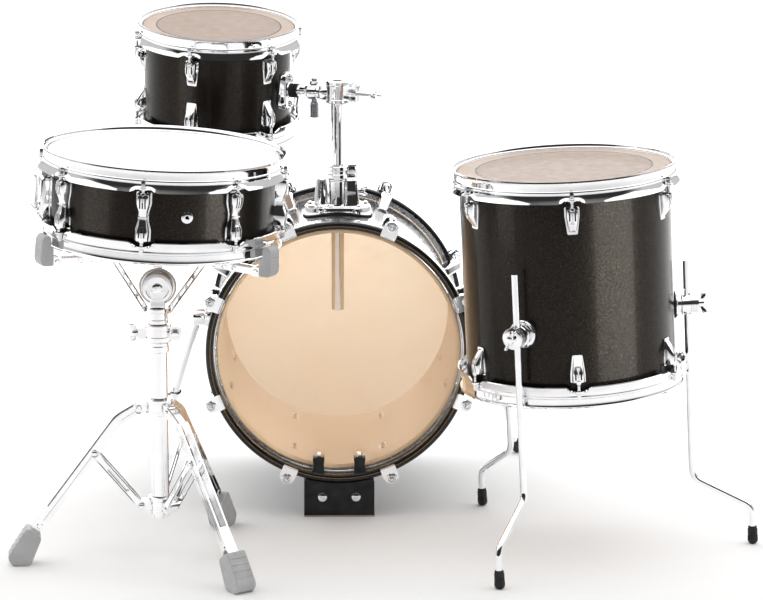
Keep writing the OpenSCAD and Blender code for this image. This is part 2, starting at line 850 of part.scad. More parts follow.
bass_shell();
bass_heads();
bass_hoops();
bass_lugs();
bass_claws();
bass_tension_rods();
bass_screws();
bass_riser();
spur_brackets();
spur_tube_left();
spur_tube_right();
spur_rod_left();
spur_rod_right();
mount_gasket();
mount_base();
mount_wing_screw();
mount_post();
tom_clamp();
clamp_wing_nut();
rack_bracket();
rack_shell();
rack_heads();
rack_hoops();
rack_lugs();
rack_tension_rods();
floor_shell();
floor_heads();
floor_hoops();
floor_lugs();
floor_tension_rods();
leg_brackets();
leg_right();
leg_back();
leg_front();
leg_wing_right();
leg_wing_back();
leg_wing_front();
stand_tube();
tripod_slider();
tripod_leg_a();
tripod_leg_b();
tripod_leg_c();
tripod_brace_a();
tripod_brace_b();
tripod_brace_c();
height_tube();
height_wing();
basket_frame();
basket_struts();
basket_arm_a();
basket_arm_b();
basket_arm_c();
snare_shell();
snare_heads();
snare_hoops();
snare_lugs();
snare_tension_rods();
snare_fittings();
snare_lever();
snare_wires();
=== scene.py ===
"""Acoustic drum kit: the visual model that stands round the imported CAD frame."""
import json
import math

import bmesh
import bpy
from mathutils import Euler, Matrix, Vector


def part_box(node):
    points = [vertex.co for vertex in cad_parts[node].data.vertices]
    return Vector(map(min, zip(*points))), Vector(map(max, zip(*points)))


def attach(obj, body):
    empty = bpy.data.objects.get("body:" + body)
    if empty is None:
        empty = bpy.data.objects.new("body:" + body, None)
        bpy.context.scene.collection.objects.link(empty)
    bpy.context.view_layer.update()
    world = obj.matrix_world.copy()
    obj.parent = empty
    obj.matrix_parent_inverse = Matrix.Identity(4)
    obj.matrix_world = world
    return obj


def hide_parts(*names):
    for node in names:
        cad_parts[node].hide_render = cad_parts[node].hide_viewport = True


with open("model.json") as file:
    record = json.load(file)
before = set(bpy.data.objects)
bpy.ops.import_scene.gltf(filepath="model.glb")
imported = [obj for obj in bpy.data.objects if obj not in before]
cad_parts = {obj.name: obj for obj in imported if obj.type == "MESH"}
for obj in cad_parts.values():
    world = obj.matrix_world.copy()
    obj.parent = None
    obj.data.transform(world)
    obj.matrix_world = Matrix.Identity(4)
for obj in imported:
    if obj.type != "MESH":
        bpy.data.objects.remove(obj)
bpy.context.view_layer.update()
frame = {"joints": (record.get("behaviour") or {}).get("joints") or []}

MM = 0.001      # every shape below is written in millimetres


# ---------------------------------------------------------------- places

def corners(node):
    """The two corners of a CAD node's box, in millimetres."""
    return [Vector(c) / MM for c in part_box(node)]


def mid(node):
    low, high = corners(node)
    return (low + high) / 2


def joint(name):
    """A joint's point and axis at rest."""
    j = next(j for j in frame["joints"] if j["name"] == name)
    return Vector(j.get("pos_m") or (0, 0, 0)) / MM, Vector(j["axis"]).normalized()


def move(x, y, z):
    return Matrix.Translation((x, y, z))


def turn(degrees, axis="Z"):
    return Matrix.Rotation(math.radians(degrees), 4, axis)


def lean(degrees):
    return Euler([math.radians(d) for d in degrees]).to_matrix().to_4x4()


def along(p, q, up=(0, 0, 1)):
    """Frame at p with +Z towards q."""
    z = (Vector(q) - Vector(p)).normalized()
    x = Vector(up).cross(z)
    x = x.normalized() if x.length > 1e-4 else Vector((1, 0, 0))
    y = z.cross(x)
    m = Matrix((x, y, z)).transposed().to_4x4()
    m.translation = Vector(p)
    return m


FLIP = Matrix.Diagonal((1, 1, -1, 1))
MIRROR = Matrix.Diagonal((-1, 1, 1, 1))
AS_IT_IS = Matrix()
ON_X = turn(90, "Y")        # stands what was turned round Z along +X
ON_Y = turn(90, "X")        # the same, along -Y


# ---------------------------------------------------------------- solids

def clean(verts, faces):
    """Merged corners and outward normals, as (verts, faces)."""
    bm = bmesh.new()
    points = [bm.verts.new(v) for v in verts]
    for f in faces:
        ring = [points[i] for i in f]
        if len(set(ring)) > 2:
            try:
                bm.faces.new(ring)
            except ValueError:
                pass
    bmesh.ops.remove_doubles(bm, verts=bm.verts, dist=1e-4)
    bmesh.ops.dissolve_degenerate(bm, edges=bm.edges, dist=1e-5)
    bmesh.ops.recalc_face_normals(bm, faces=bm.faces)
    return unpack(bm)


def unpack(bm):
    bm.verts.index_update()
    out = [tuple(v.co) for v in bm.verts], [tuple(v.index for v in f.verts) for f in bm.faces]
    bm.free()
    return out


def lathe(profile, n=96):
    """Closed profile of (radius, z) points turned round Z."""
    k = len(profile)
    verts = [(r * math.cos(math.tau * i / n), r * math.sin(math.tau * i / n), z) for i in range(n)
             for r, z in profile]
    faces = [(i * k + j, (i + 1) % n * k + j, (i + 1) % n * k + (j + 1) % k, i * k + (j + 1) % k)
             for i in range(n) for j in range(k)]
    return clean(verts, faces)


def turned(profile, n=48):
    """Open profile from the axis to the axis turned round Z, for knobs, pins and rods."""
    return lathe([(0, profile[0][1])] + list(profile) + [(0, profile[-1][1])], n)


def rings(sections):
    """Closed skin through rings with the same number of points, capped at both ends."""
    k = len(sections[0])
    verts = [p for s in sections for p in s]
    faces = [(a * k + j, a * k + (j + 1) % k, (a + 1) * k + (j + 1) % k, (a + 1) * k + j)
             for a in range(len(sections) - 1) for j in range(k)]
    faces += [tuple(range(k)), tuple((len(sections) - 1) * k + j for j in range(k))]
    return clean(verts, faces)


def sweep(path, radius, n=24):
    """Round rod along a path of points."""
    path = [Vector(p) for p in path]
    sections, x = [], None
    for i, p in enumerate(path):
        t = (path[min(i + 1, len(path) - 1)] - path[max(i - 1, 0)]).normalized()
        if x is None:
            x = t.orthogonal().normalized()
        x = (x - t * x.dot(t)).normalized()
        y = t.cross(x)
        r = radius(i / (len(path) - 1)) if callable(radius) else radius
        sections.append([p + (x * math.cos(a) + y * math.sin(a)) * r
                         for a in (math.tau * j / n for j in range(n))])
    return rings(sections)


def rounded(path, radius, steps=8):
    """The path with each corner turned into an arc."""
    path = [Vector(p) for p in path]
    out = [path[0]]
    for a, b, c in zip(path, path[1:], path[2:]):
        u, v = (a - b).normalized(), (c - b).normalized()
        half = u.angle(v) / 2
        cut = min(radius / math.tan(half), (a - b).length * 0.49, (c - b).length * 0.49)
        p, q = b + u * cut, b + v * cut
        for i in range(steps + 1):
            t = i / steps
            out.append(p.lerp(b, t).lerp(b.lerp(q, t), t))
    return out + [path[-1]]


def plate(outline, y0, y1, holes=()):
    """Outline of (x, z) points, with holes, as a plate between y0 and y1."""
    if not holes:
        k = len(outline)
        verts = [(x, y, z) for y in (y0, y1) for x, z in outline]
        faces = [tuple(range(k)), tuple(range(k, 2 * k))]
        faces += [(j, (j + 1) % k, (j + 1) % k + k, j + k) for j in range(k)]
        return clean(verts, faces)
    bm = bmesh.new()
    edges = []
    for loop in [outline, *holes]:
        points = [bm.verts.new((x, y0, z)) for x, z in loop]
        edges += [bm.edges.new((a, b)) for a, b in zip(points, points[1:] + points[:1])]
    bmesh.ops.triangle_fill(bm, use_beauty=True, use_dissolve=False, edges=edges)
    side = bmesh.ops.extrude_face_region(bm, geom=list(bm.faces))
    bmesh.ops.translate(bm, vec=(0, y1 - y0, 0), verts=[g for g in side["geom"]
                                                        if isinstance(g, bmesh.types.BMVert)])
    bmesh.ops.recalc_face_normals(bm, faces=bm.faces)
    return unpack(bm)


def circle(x, z, r, n=24):
    return [(x + r * math.cos(math.tau * i / n), z + r * math.sin(math.tau * i / n)) for i in range(n)]


def knurled(n, depth, levels):
    """Solid through rings of n points at (radius, z), with every second point sunk by depth."""
    spots = [(math.cos(math.tau * i / n), math.sin(math.tau * i / n), depth * (i % 2)) for i in range(n)]
    return rings([[((r - sunk) * x, (r - sunk) * y, z) for x, y, sunk in spots] for r, z in levels])


def repeat(start, end, step, *points):
    """Profile points of (radius, rise) repeated from start to end, for threads and ribs."""
    out, z = [], start
    while z < end:
        out += [(r, z + rise) for r, rise in points]
        z += step
    return out


def rect(x0, x1, z0, z1):
    return [(x0, z0), (x1, z0), (x1, z1), (x0, z1)]


def slab(x0, x1, z0, z1, radius, y0, y1, holes=(), steps=3):
    """Upright plate with rounded corners."""
    return plate(softened(rect(x0, x1, z0, z1), radius, steps), y0, y1, holes)


def bar(p, q, w, n=10):
    """Outline of a flat bar from p to q with round ends."""
    a = math.atan2(q[1] - p[1], q[0] - p[0])
    arc = [a + math.pi / 2 + math.pi * i / n for i in range(n + 1)]
    return ([(p[0] + w / 2 * math.cos(t), p[1] + w / 2 * math.sin(t)) for t in arc]
            + [(q[0] - w / 2 * math.cos(t), q[1] - w / 2 * math.sin(t)) for t in arc])


def softened(outline, radius, steps=3):
    """The closed outline with rounded corners."""
    out, k = [], len(outline)
    for i in range(k):
        a, b, c = (Vector(outline[(i + d) % k]) for d in (-1, 0, 1))
        cut = min(radius, (a - b).length * 0.45, (c - b).length * 0.45)
        p, q = b + (a - b).normalized() * cut, b + (c - b).normalized() * cut
        for s in range(steps + 1):
            t = s / steps
            out.append(tuple(p.lerp(b, t).lerp(b.lerp(q, t), t)))
    return out


def block(x0, x1, y0, y1, z0, z1, radius=2.0):
    """Box with rounded vertical edges; the bevel modifier softens the others."""
    return moved(slab(x0, x1, -y1, -y0, radius, z0, z1), Matrix.Rotation(math.pi / 2, 4, "X"))


def soft_box(x0, x1, w, z, radius=3.0):
    """Ring of a rounded rectangle at height z."""
    return [(x, y, z) for x, y in softened(rect(x0, x1, -w, w), radius, 4)]


def moved(solid, matrix):
    verts, faces = solid
    if matrix.determinant() < 0:
        faces = [f[::-1] for f in faces]
    return [tuple(matrix @ Vector(v)) for v in verts], faces


def both(*solids):
    """Several solids as one."""
    verts, faces = [], []
    for v, f in solids:
        faces += [tuple(i + len(verts) for i in ring) for ring in f]
        verts += v
    return verts, faces


def cut(solid, *tools):
    """The solid less each tool."""
    made = []
    for verts, faces in (solid, *tools):
        mesh = bpy.data.meshes.new("scrap")
        mesh.from_pydata(verts, [], faces)
        made.append(bpy.data.objects.new("scrap", mesh))
        bpy.context.collection.objects.link(made[-1])
    for tool in made[1:]:
        m = made[0].modifiers.new("cut", "BOOLEAN")
        m.operation, m.solver, m.object = "DIFFERENCE", "EXACT", tool
    bpy.context.view_layer.update()
    depsgraph = bpy.context.evaluated_depsgraph_get()
    bm = bmesh.new()
    bm.from_object(made[0], depsgraph)
    bmesh.ops.remove_doubles(bm, verts=bm.verts, dist=1e-4)
    for o in made:
        mesh = o.data
        bpy.data.objects.remove(o)
        bpy.data.meshes.remove(mesh)
    return unpack(bm)


class Piece:
    """The visible object that stands for one CAD node, gathered from solids in millimetres."""

    def __init__(self, node, body, slot, *materials, name=None):
        self.name, self.node = f"{name or node}_piece", node
        self.body, self.slot, self.materials = body, slot, materials
        self.verts, self.faces, self.mats = [], [], []

    def add(self, solid, *places, mat=0):
        for place in places or (AS_IT_IS,):
            verts, faces = moved(solid, place)
            base = len(self.verts)
            self.verts += verts
            self.faces += [tuple(i + base for i in f) for f in faces]
            self.mats += [mat] * len(faces)
        return self

    def done(self, bevel=0.4, angle=32):
        """Make the object; edges sharper than the angle get a bevel in mm, or stay sharp if it is 0."""
        mesh = bpy.data.meshes.new(self.name)
        mesh.from_pydata([tuple(c * MM for c in v) for v in self.verts], [], self.faces)
        for m in self.materials:
            mesh.materials.append(m)
        mesh.polygons.foreach_set("material_index", self.mats)
        mesh.polygons.foreach_set("use_smooth", [True] * len(self.faces))
        o = bpy.data.objects.new(self.name, mesh)
        bpy.context.collection.objects.link(o)
        if bevel:
            m = o.modifiers.new("edges", "BEVEL")
            m.width, m.segments, m.limit_method = bevel * MM, 2, "ANGLE"
            m.angle_limit, m.harden_normals = math.radians(angle), True
        else:
            mesh.set_sharp_from_angle(angle=math.radians(angle))
        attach(o, self.body)
        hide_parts(self.node)
        return o


# ---------------------------------------------------------------- materials

class Graph:
    """A node tree with short ways to add to it."""

    def __init__(self, node_tree):
        self.nodes, self.links = node_tree.nodes, node_tree.links

    def put(self, socket, value):
        """Link another node's output to the socket, or set it; a colour gets its alpha."""
        if hasattr(value, "is_output"):
            self.links.new(value, socket)
        elif isinstance(value, tuple) and len(value) < len(socket.default_value):
            socket.default_value = (*value, 1)
        else:
            socket.default_value = value

    def node(self, kind, **values):
        n = self.nodes.new("ShaderNode" + kind)
        for key, value in values.items():
            socket = n.inputs.get(key.replace("_", " "))
            if socket is None:
                setattr(n, key, value)
            else:
                self.put(socket, value)
        return n


class Look(Graph):
    """A node material round one Principled shader."""

    def __init__(self, name, **sockets):
        self.mat = bpy.data.materials.new(name)
        self.mat.use_nodes = True
        super().__init__(self.mat.node_tree)
        self.shader = self.nodes["Principled BSDF"]
        for key, value in sockets.items():
            self.put(self.shader.inputs[key.replace("_", " ")], value)
        self.place = self.nodes.new("ShaderNodeTexCoord").outputs["Object"]

    def stretched(self, scale):
        return self.node("Mapping", Vector=self.place, Scale=scale).outputs["Vector"]

    def noise(self, scale, detail=3.0, rough=0.55, at=None):
        return self.node("TexNoise", Vector=at or self.place, Scale=scale, Detail=detail,
                         Roughness=rough).outputs["Fac"]

    def ramp(self, value, *stops):
        """Colour or grey by value: stops are (position, colour or grey)."""
        n = self.node("ValToRGB", Fac=value)
        ramp = n.color_ramp
        while len(ramp.elements) < len(stops):
            ramp.elements.new(0.5)
        for element, (at, c) in zip(ramp.elements, stops):
            element.position = at
            element.color = (*c, 1) if isinstance(c, tuple) else (c, c, c, 1)
        return n.outputs["Color"]

    def mix(self, fac, a, b):
        n = self.node("Mix", data_type="RGBA")
        for i, value in ((0, fac), (6, a), (7, b)):
            self.put(n.inputs[i], value)
        return n.outputs[2]

    def to(self, socket, value):
        self.links.new(value, self.shader.inputs[socket])

    def bump(self, height, strength, distance, socket="Normal"):
        n = self.node("Bump", Height=height, Strength=strength, Distance=distance)
        self.to(socket, n.outputs["Normal"])


def surface(name, tone, rough, bump, **sockets):
    """Colour and roughness from ramps over noise, and noise bump.

    tone and rough are (noise scale, detail, stop, stop...), bump is (scale, detail, strength, distance).
    """
    k = Look(name, **sockets)
    k.to("Base Color", k.ramp(k.noise(*tone[:2]), *tone[2:]))
    k.to("Roughness", k.ramp(k.noise(*rough[:2]), *rough[2:]))
    k.bump(k.noise(*bump[:2]), *bump[2:])
    return k.mat


def plated(name, light, dark, smooth, worn, wave=0.02):
    """Plated metal: faint handling marks in the roughness and a slow wave in the surface."""
    return surface(name, (28.0, 4.0, (0.35, dark), (0.6, light)),
                   (90.0, 5.0, (0.4, smooth), (0.75, worn)), (45.0, 2.0, wave, 0.002), Metallic=1.0)


def sparkle_wrap():
    """Black plastic wrap: bronze flakes under a deep clear coat."""
    k = Look("sparkle_wrap", Coat_Weight=1.0, Coat_Roughness=0.09, Coat_IOR=1.13, Metallic=0.9,
             Specular_IOR_Level=0.3)
    flakes = k.node("TexVoronoi", Vector=k.place, Scale=2600.0)
    coarse = k.node("TexVoronoi", Vector=k.place, Scale=900.0)
    bright = k.ramp(flakes.outputs["Color"], (0.0, (0.0018, 0.0016, 0.0014)),
                    (0.55, (0.009, 0.0075, 0.006)), (0.86, (0.045, 0.037, 0.029)),
                    (1.0, (0.17, 0.135, 0.1)))
    glint = k.ramp(coarse.outputs["Color"], (0.0, 0.55), (0.8, 1.0), (1.0, 1.8))
    product = k.node("VectorMath", operation="MULTIPLY")
    k.links.new(bright, product.inputs[0])
    k.links.new(glint, product.inputs[1])
    k.to("Base Color", product.outputs[0])
    k.to("Roughness", k.ramp(flakes.outputs["Color"], (0.0, 0.36), (1.0, 0.22)))
    k.bump(flakes.outputs["Color"], 0.02, 0.0004)
    k.bump(k.noise(9.0, 1.0), 0.004, 0.002, "Coat Normal")
    return k.mat


def maple(name, scale, pale, deep):
    """Maple ply: long grain, slow clouds and a satin seal coat; scale says which way the grain runs."""
    k = Look(name, Coat_Weight=0.25, Coat_Roughness=0.3)
    grain = k.noise(1.0, 6.0, 0.6, k.stretched(scale))
    clouds = k.noise(7.0, 2.0)
    tone = k.ramp(grain, (0.32, deep), (0.52, pale), (0.7, tuple(c * 1.04 for c in pale)))
    k.to("Base Color", k.mix(k.ramp(clouds, (0.3, 0.0), (0.8, 0.35)), tone, deep))
    k.to("Roughness", k.ramp(grain, (0.3, 0.5), (0.7, 0.36)))
    k.bump(grain, 0.15, 0.0006)
    return k.mat


def lacquer():
    """Black lacquer over wood, with the grain just telegraphing through."""
    k = Look("black_lacquer", Coat_Weight=1.0, Coat_Roughness=0.04, Coat_IOR=1.35, Specular_IOR_Level=0.15)
    grain = k.noise(1.0, 4.0, 0.6, k.stretched((60.0, 900.0, 60.0)))
    k.to("Base Color", k.ramp(grain, (0.3, (0.005, 0.005, 0.006)), (0.75, (0.014, 0.012, 0.010))))
    k.to("Roughness", k.ramp(grain, (0.3, 0.24), (0.7, 0.29)))
    k.bump(grain, 0.015, 0.0004)
    return k.mat


def film(name, inner, outer, alpha=1.0, rough=(0.2, 0.32), coat=0.6, cloud=6.0, through=0.0, gloss=0.5):
    """Polyester film: slow clouding and a slightly uneven gloss."""
    return surface(name, (cloud, 3.0, (0.35, inner), (0.65, outer)),
                   (60.0, 5.0, (0.35, rough[0]), (0.7, rough[1])), (260.0, 3.0, 0.03, 0.0003),
                   Coat_Weight=coat, Coat_Roughness=0.05, Alpha=alpha, IOR=1.5, Specular_IOR_Level=gloss,
                   Transmission_Weight=through)


def coated_film():
    """White sprayed coating: fine grit, with faint grey stick marks."""
    k = Look("white_coating", Coat_Weight=0.1, Coat_Roughness=0.4)
    marks = k.noise(1.0, 3.0, 0.6, k.stretched((26.0, 55.0, 30.0)))
    k.to("Base Color", k.ramp(marks, (0.30, (0.86, 0.86, 0.85)), (0.42, (0.95, 0.95, 0.94)),
                              (0.6, (0.98, 0.98, 0.98))))
    k.to("Roughness", k.ramp(k.noise(400.0, 4.0), (0.3, 0.5), (0.7, 0.7)))
    k.bump(k.noise(1400.0, 4.0), 0.25, 0.0004)
    return k.mat


def rubber(name, dark, light):
    return surface(name, (35.0, 5.0, (0.35, dark), (0.7, light)), (120.0, 4.0, (0.3, 0.55), (0.7, 0.75)),
                   (700.0, 4.0, 0.2, 0.0004), Specular_IOR_Level=0.35)


def painted():
    """Satin black powder paint with rubbed spots."""
    return surface("black_paint", (50.0, 6.0, (0.35, (0.008, 0.008, 0.009)), (0.72, (0.03, 0.03, 0.032))),
                   (160.0, 4.0, (0.3, 0.32), (0.7, 0.48)), (900.0, 3.0, 0.12, 0.0003), Coat_Weight=0.1,
                   Coat_Roughness=0.25, Specular_IOR_Level=0.2)


CHROME = plated("chrome", (0.95, 0.95, 0.96), (0.88, 0.885, 0.9), 0.03, 0.075)
ROD = plated("plated_rod", (0.9, 0.9, 0.91), (0.78, 0.78, 0.8), 0.1, 0.2, 0.05)
ALLOY = plated("hoop_alloy", (0.86, 0.86, 0.87), (0.74, 0.74, 0.76), 0.22, 0.34, 0.05)
PALE = plated("stand_chrome", (0.985, 0.985, 0.99), (0.93, 0.93, 0.95), 0.08, 0.17)
GOLD = plated("gold_inlay", (0.42, 0.24, 0.09), (0.28, 0.15, 0.05), 0.16, 0.28)
RIM_GREY = plated("ring_grey", (0.62, 0.57, 0.53), (0.5, 0.46, 0.43), 0.3, 0.45)
STEEL = plated("dark_steel", (0.42, 0.42, 0.44), (0.3, 0.3, 0.32), 0.2, 0.36, 0.05)
SPARKLE = sparkle_wrap()
MAPLE_BASS = maple("maple_bass", (9.0, 420.0, 9.0), (0.96, 0.77, 0.53), (0.88, 0.66, 0.41))
MAPLE = maple("maple_ply", (9.0, 9.0, 420.0), (0.8, 0.6, 0.4), (0.66, 0.45, 0.27))
LACQUER = lacquer()
CLEAR = film("clear_film", (0.98, 0.78, 0.55), (1.0, 0.84, 0.64), alpha=0.24, rough=(0.06, 0.12), coat=0.4)
CREAM = film("cream_film", (0.96, 0.68, 0.40), (0.98, 0.74, 0.48), alpha=0.72, rough=(0.3, 0.45),
             coat=0.2, through=0.6)
TAN = film("tan_film", (0.30, 0.21, 0.155), (0.335, 0.24, 0.185), rough=(0.3, 0.42), coat=0.0, cloud=2.5,
           gloss=0.22)
BAND = film("band_film", (0.44, 0.33, 0.26), (0.49, 0.38, 0.3), rough=(0.3, 0.42), coat=0.0, cloud=2.5,
            gloss=0.22)
RING = film("ring_print", (0.022, 0.014, 0.012), (0.04, 0.026, 0.022), coat=0.0, gloss=0.15)
COATING = coated_film()
BLACK_RUBBER = rubber("black_rubber", (0.012, 0.012, 0.013), (0.035, 0.034, 0.034))
GREY_RUBBER = rubber("grey_rubber", (0.50, 0.50, 0.505), (0.60, 0.60, 0.605))
PAINT = painted()


# ---------------------------------------------------------------- studio

def studio_sky(base, *patches):
    """World of one brightness with soft patches: direction, inner and outer degrees, brightness."""
    world = bpy.data.worlds.new("studio")
    bpy.context.scene.world = world
    world.use_nodes = True
    g = Graph(world.node_tree)
    sky = g.nodes.new("ShaderNodeTexCoord").outputs["Generated"]
    value = base
    for direction, inner, outer, brightness in patches:
        mix = g.node("Mix", data_type="FLOAT")
        dot = g.node("VectorMath", operation="DOT_PRODUCT")
        g.put(dot.inputs[0], sky)
        g.put(dot.inputs[1], Vector(direction).normalized())
        fade = g.node("MapRange", interpolation_type="SMOOTHSTEP", Value=dot.outputs["Value"],
                      From_Min=math.cos(math.radians(outer)), From_Max=math.cos(math.radians(inner)))
        for i, given in ((0, fade.outputs["Result"]), (2, value), (3, brightness)):
            g.put(mix.inputs[i], given)
        value = mix.outputs[0]
    background = g.nodes["Background"]
    g.put(background.inputs["Color"], (1, 0.995, 0.985))
    g.put(background.inputs["Strength"], value)


def toward(azimuth, elevation):
    """Unit direction: azimuth 0 is towards the camera's side (-Y), positive to +X."""
    a, e = math.radians(azimuth), math.radians(elevation)
    return math.sin(a) * math.cos(e), -math.cos(a) * math.cos(e), math.sin(e)


DARK_END = (toward(0, 0), 58, 86, 0.03)         # behind the camera
SCRIM = ((0, 0, 1), 34, 60, 0.45)              # overhead
studio_sky(0.62, DARK_END, SCRIM)


def area(name, position, target, size, power):
    data = bpy.data.lights.new(name, "AREA")
    data.shape, data.size, data.size_y, data.energy = "RECTANGLE", size[0], size[1], power
    o = bpy.data.objects.new(name, data)
    o.location = position
    o.rotation_euler = (Vector(target) - Vector(position)).to_track_quat("-Z", "Y").to_euler()
    o.visible_camera = False
    bpy.context.collection.objects.link(o)
    return o


wrap_only = bpy.data.collections.new("wrap_only")      # the pieces that the side boxes light
LAYERS = 5      # lights in a side box, each wider than the last


def side_box(name, position, target, size, power):
    """Tall soft box beside the camera that fades towards its sides and lights only the wrap."""
    for k in range(1, LAYERS + 1):
        share = k / sum(range(LAYERS + 1))
        o = area(f"{name}_{k}", position, target, (size[0] * k / LAYERS, size[1]), power * share)
        o.light_linking.receiver_collection = wrap_only


area("overhead", (0, 4.4, 2.7), (0, 4.4, 0), (12, 13.6), 560)
area("back_box", (0.1, 3.2, 0.6), (0.0, 0.4, 0.3), (2.4, 0.9), 38)         # glows through the front head
side_box("right_box", (1.18, -1.0, 0.88), (0.38, -0.2, 0.8), (0.95, 1.7), 92)
side_box("left_box", (-1.45, -0.85, 0.88), (-0.25, -0.2, 0.8), (0.7, 1.7), 21)

floor_mesh = bpy.data.meshes.new("studio_floor")
HALF_FLOOR = 30.0
floor_mesh.from_pydata([(x, y, 0) for x, y in rect(-HALF_FLOOR, HALF_FLOOR, -HALF_FLOOR, HALF_FLOOR)], [],
                       [(0, 1, 2, 3)])
floor = bpy.data.objects.new("studio_floor", floor_mesh)
bpy.context.collection.objects.link(floor)
paper = Look("floor_paper", Roughness=0.9, Specular_IOR_Level=0.0)
paper.to("Base Color", paper.ramp(paper.noise(2.0, 3.0), (0.3, (0.93, 0.93, 0.93)),
                                  (0.7, (0.97, 0.97, 0.97))))
floor_mesh.materials.append(paper.mat)

# the camera that fits the four drums' hoops as the photo shows them
CAMERA_AT = (-0.0338, -4.911, 1.3463)
LENS, LOOKS_DOWN, HEADING = 143.1, 11.32, -0.0213      # mm, degrees, radians
camera_data = bpy.data.cameras.new("camera")
camera_data.sensor_width = 36
camera_data.lens = LENS
camera = bpy.data.objects.new("camera", camera_data)
camera.location = CAMERA_AT
camera.rotation_euler = (math.radians(90 - LOOKS_DOWN), 0, HEADING)
bpy.context.collection.objects.link(camera)
bpy.context.scene.camera = camera
bpy.context.scene.view_settings.view_transform = "Standard"


# ---------------------------------------------------------------- drum parts

def smooth(a, b, x):
    t = max(0.0, min(1.0, (x - a) / (b - a)))
    return t * t * (3 - 2 * t)


class Drum:
    """Where one drum stands: its middle, its edges and its ring of tension rods."""

    def __init__(self, node, r, depth, n, first, tilt):
        self.r, self.depth, self.n, self.first = r, depth, n, first
        self.middle = Matrix.Translation(mid(node)) @ tilt
        self.low = self.middle @ move(0, 0, -depth / 2)
        self.edges = (self.middle @ move(0, 0, depth / 2), self.low @ FLIP)

    def around(self, edges=None):
        """Places of the rods, at both edges or at those given."""
        return [e @ turn(self.first + i * 360 / self.n) for e in (edges or self.edges)
                for i in range(self.n)]


def shell_skins(d):
    """The wrap's sleeve, and the ply inside it with cut bearing edges."""
    h, r = d.depth / 2, d.r
    wrap = [(r - 0.6, -h + 1), (r, -h + 1.8), (r, h - 1.8), (r - 0.6, h - 1)]
    ply = [(r - 0.65, -h + 0.8), (r - 2, -h), (r - 3, -h + 0.2), (r - 7, -h + 4.6)]
    ply += [(q, -z) for q, z in ply[::-1]]
    return lathe(wrap, 288), lathe(ply, 288)


def make_shell(node, body, d, wood):
    """Ply shell, and the wrap with its overlapped seam."""
    h, r = d.depth / 2, d.r
    p = Piece(node, body, "sparkle_wrap", SPARKLE, wood)
    wrap, ply = shell_skins(d)
    p.add(wrap, d.middle).add(ply, d.middle, mat=1)
    strip = [(r - 0.3, -h + 2.2), (r + 0.35, -h + 2.6), (r + 0.35, h - 2.6), (r - 0.3, h - 2.2)]
    turns = [math.radians(120 + 0.8 * k) for k in range(13)]
    seam = [[(q * math.cos(a), q * math.sin(a), z) for q, z in strip] for a in turns]
    p.add(rings(seam), d.middle)
    wrap_only.objects.link(p.done(bevel=0))


def make_heads(node, body, slot, d, zones, low_zones):
    """Film in printed zones of (inner share, outer share, look), its collar, and the flesh hoop."""
    kinds = []
    for z in (*zones, *low_zones):
        if z[2] not in kinds:
            kinds.append(z[2])
    p = Piece(node, body, slot, *kinds, ALLOY)
    r = d.r
    for edge, layout in zip(d.edges, (zones, low_zones)):
        for inner, outer, kind in layout:
            a, b = inner * r, outer * r if outer < 1 else r - 2
            p.add(lathe(rect(a, b, 0.15, 0.45), 160), edge, mat=kinds.index(kind))
        p.add(lathe([(r - 2, 0.15), (r - 2, 0.45), (r + 0.4, 0.38), (r + 1.8, -0.4), (r + 2.6, -2.4),
                     (r + 3.2, -4), (r + 2.6, -4), (r + 1.9, -2.6), (r + 1.1, -0.9), (r + 0.3, 0.02)],
                    160), edge, mat=kinds.index(layout[-1][2]))
        p.add(lathe([(r + 1.2, -9), (r + 5.6, -9), (r + 6.1, -8.4), (r + 6.1, -0.6), (r + 5.4, 0.4),
                     (r + 3.6, 0.4), (r + 3.0, -0.4), (r + 3.0, -7), (r + 1.2, -7)], 160), edge,
              mat=len(kinds))
    return p.done(bevel=0, angle=50)


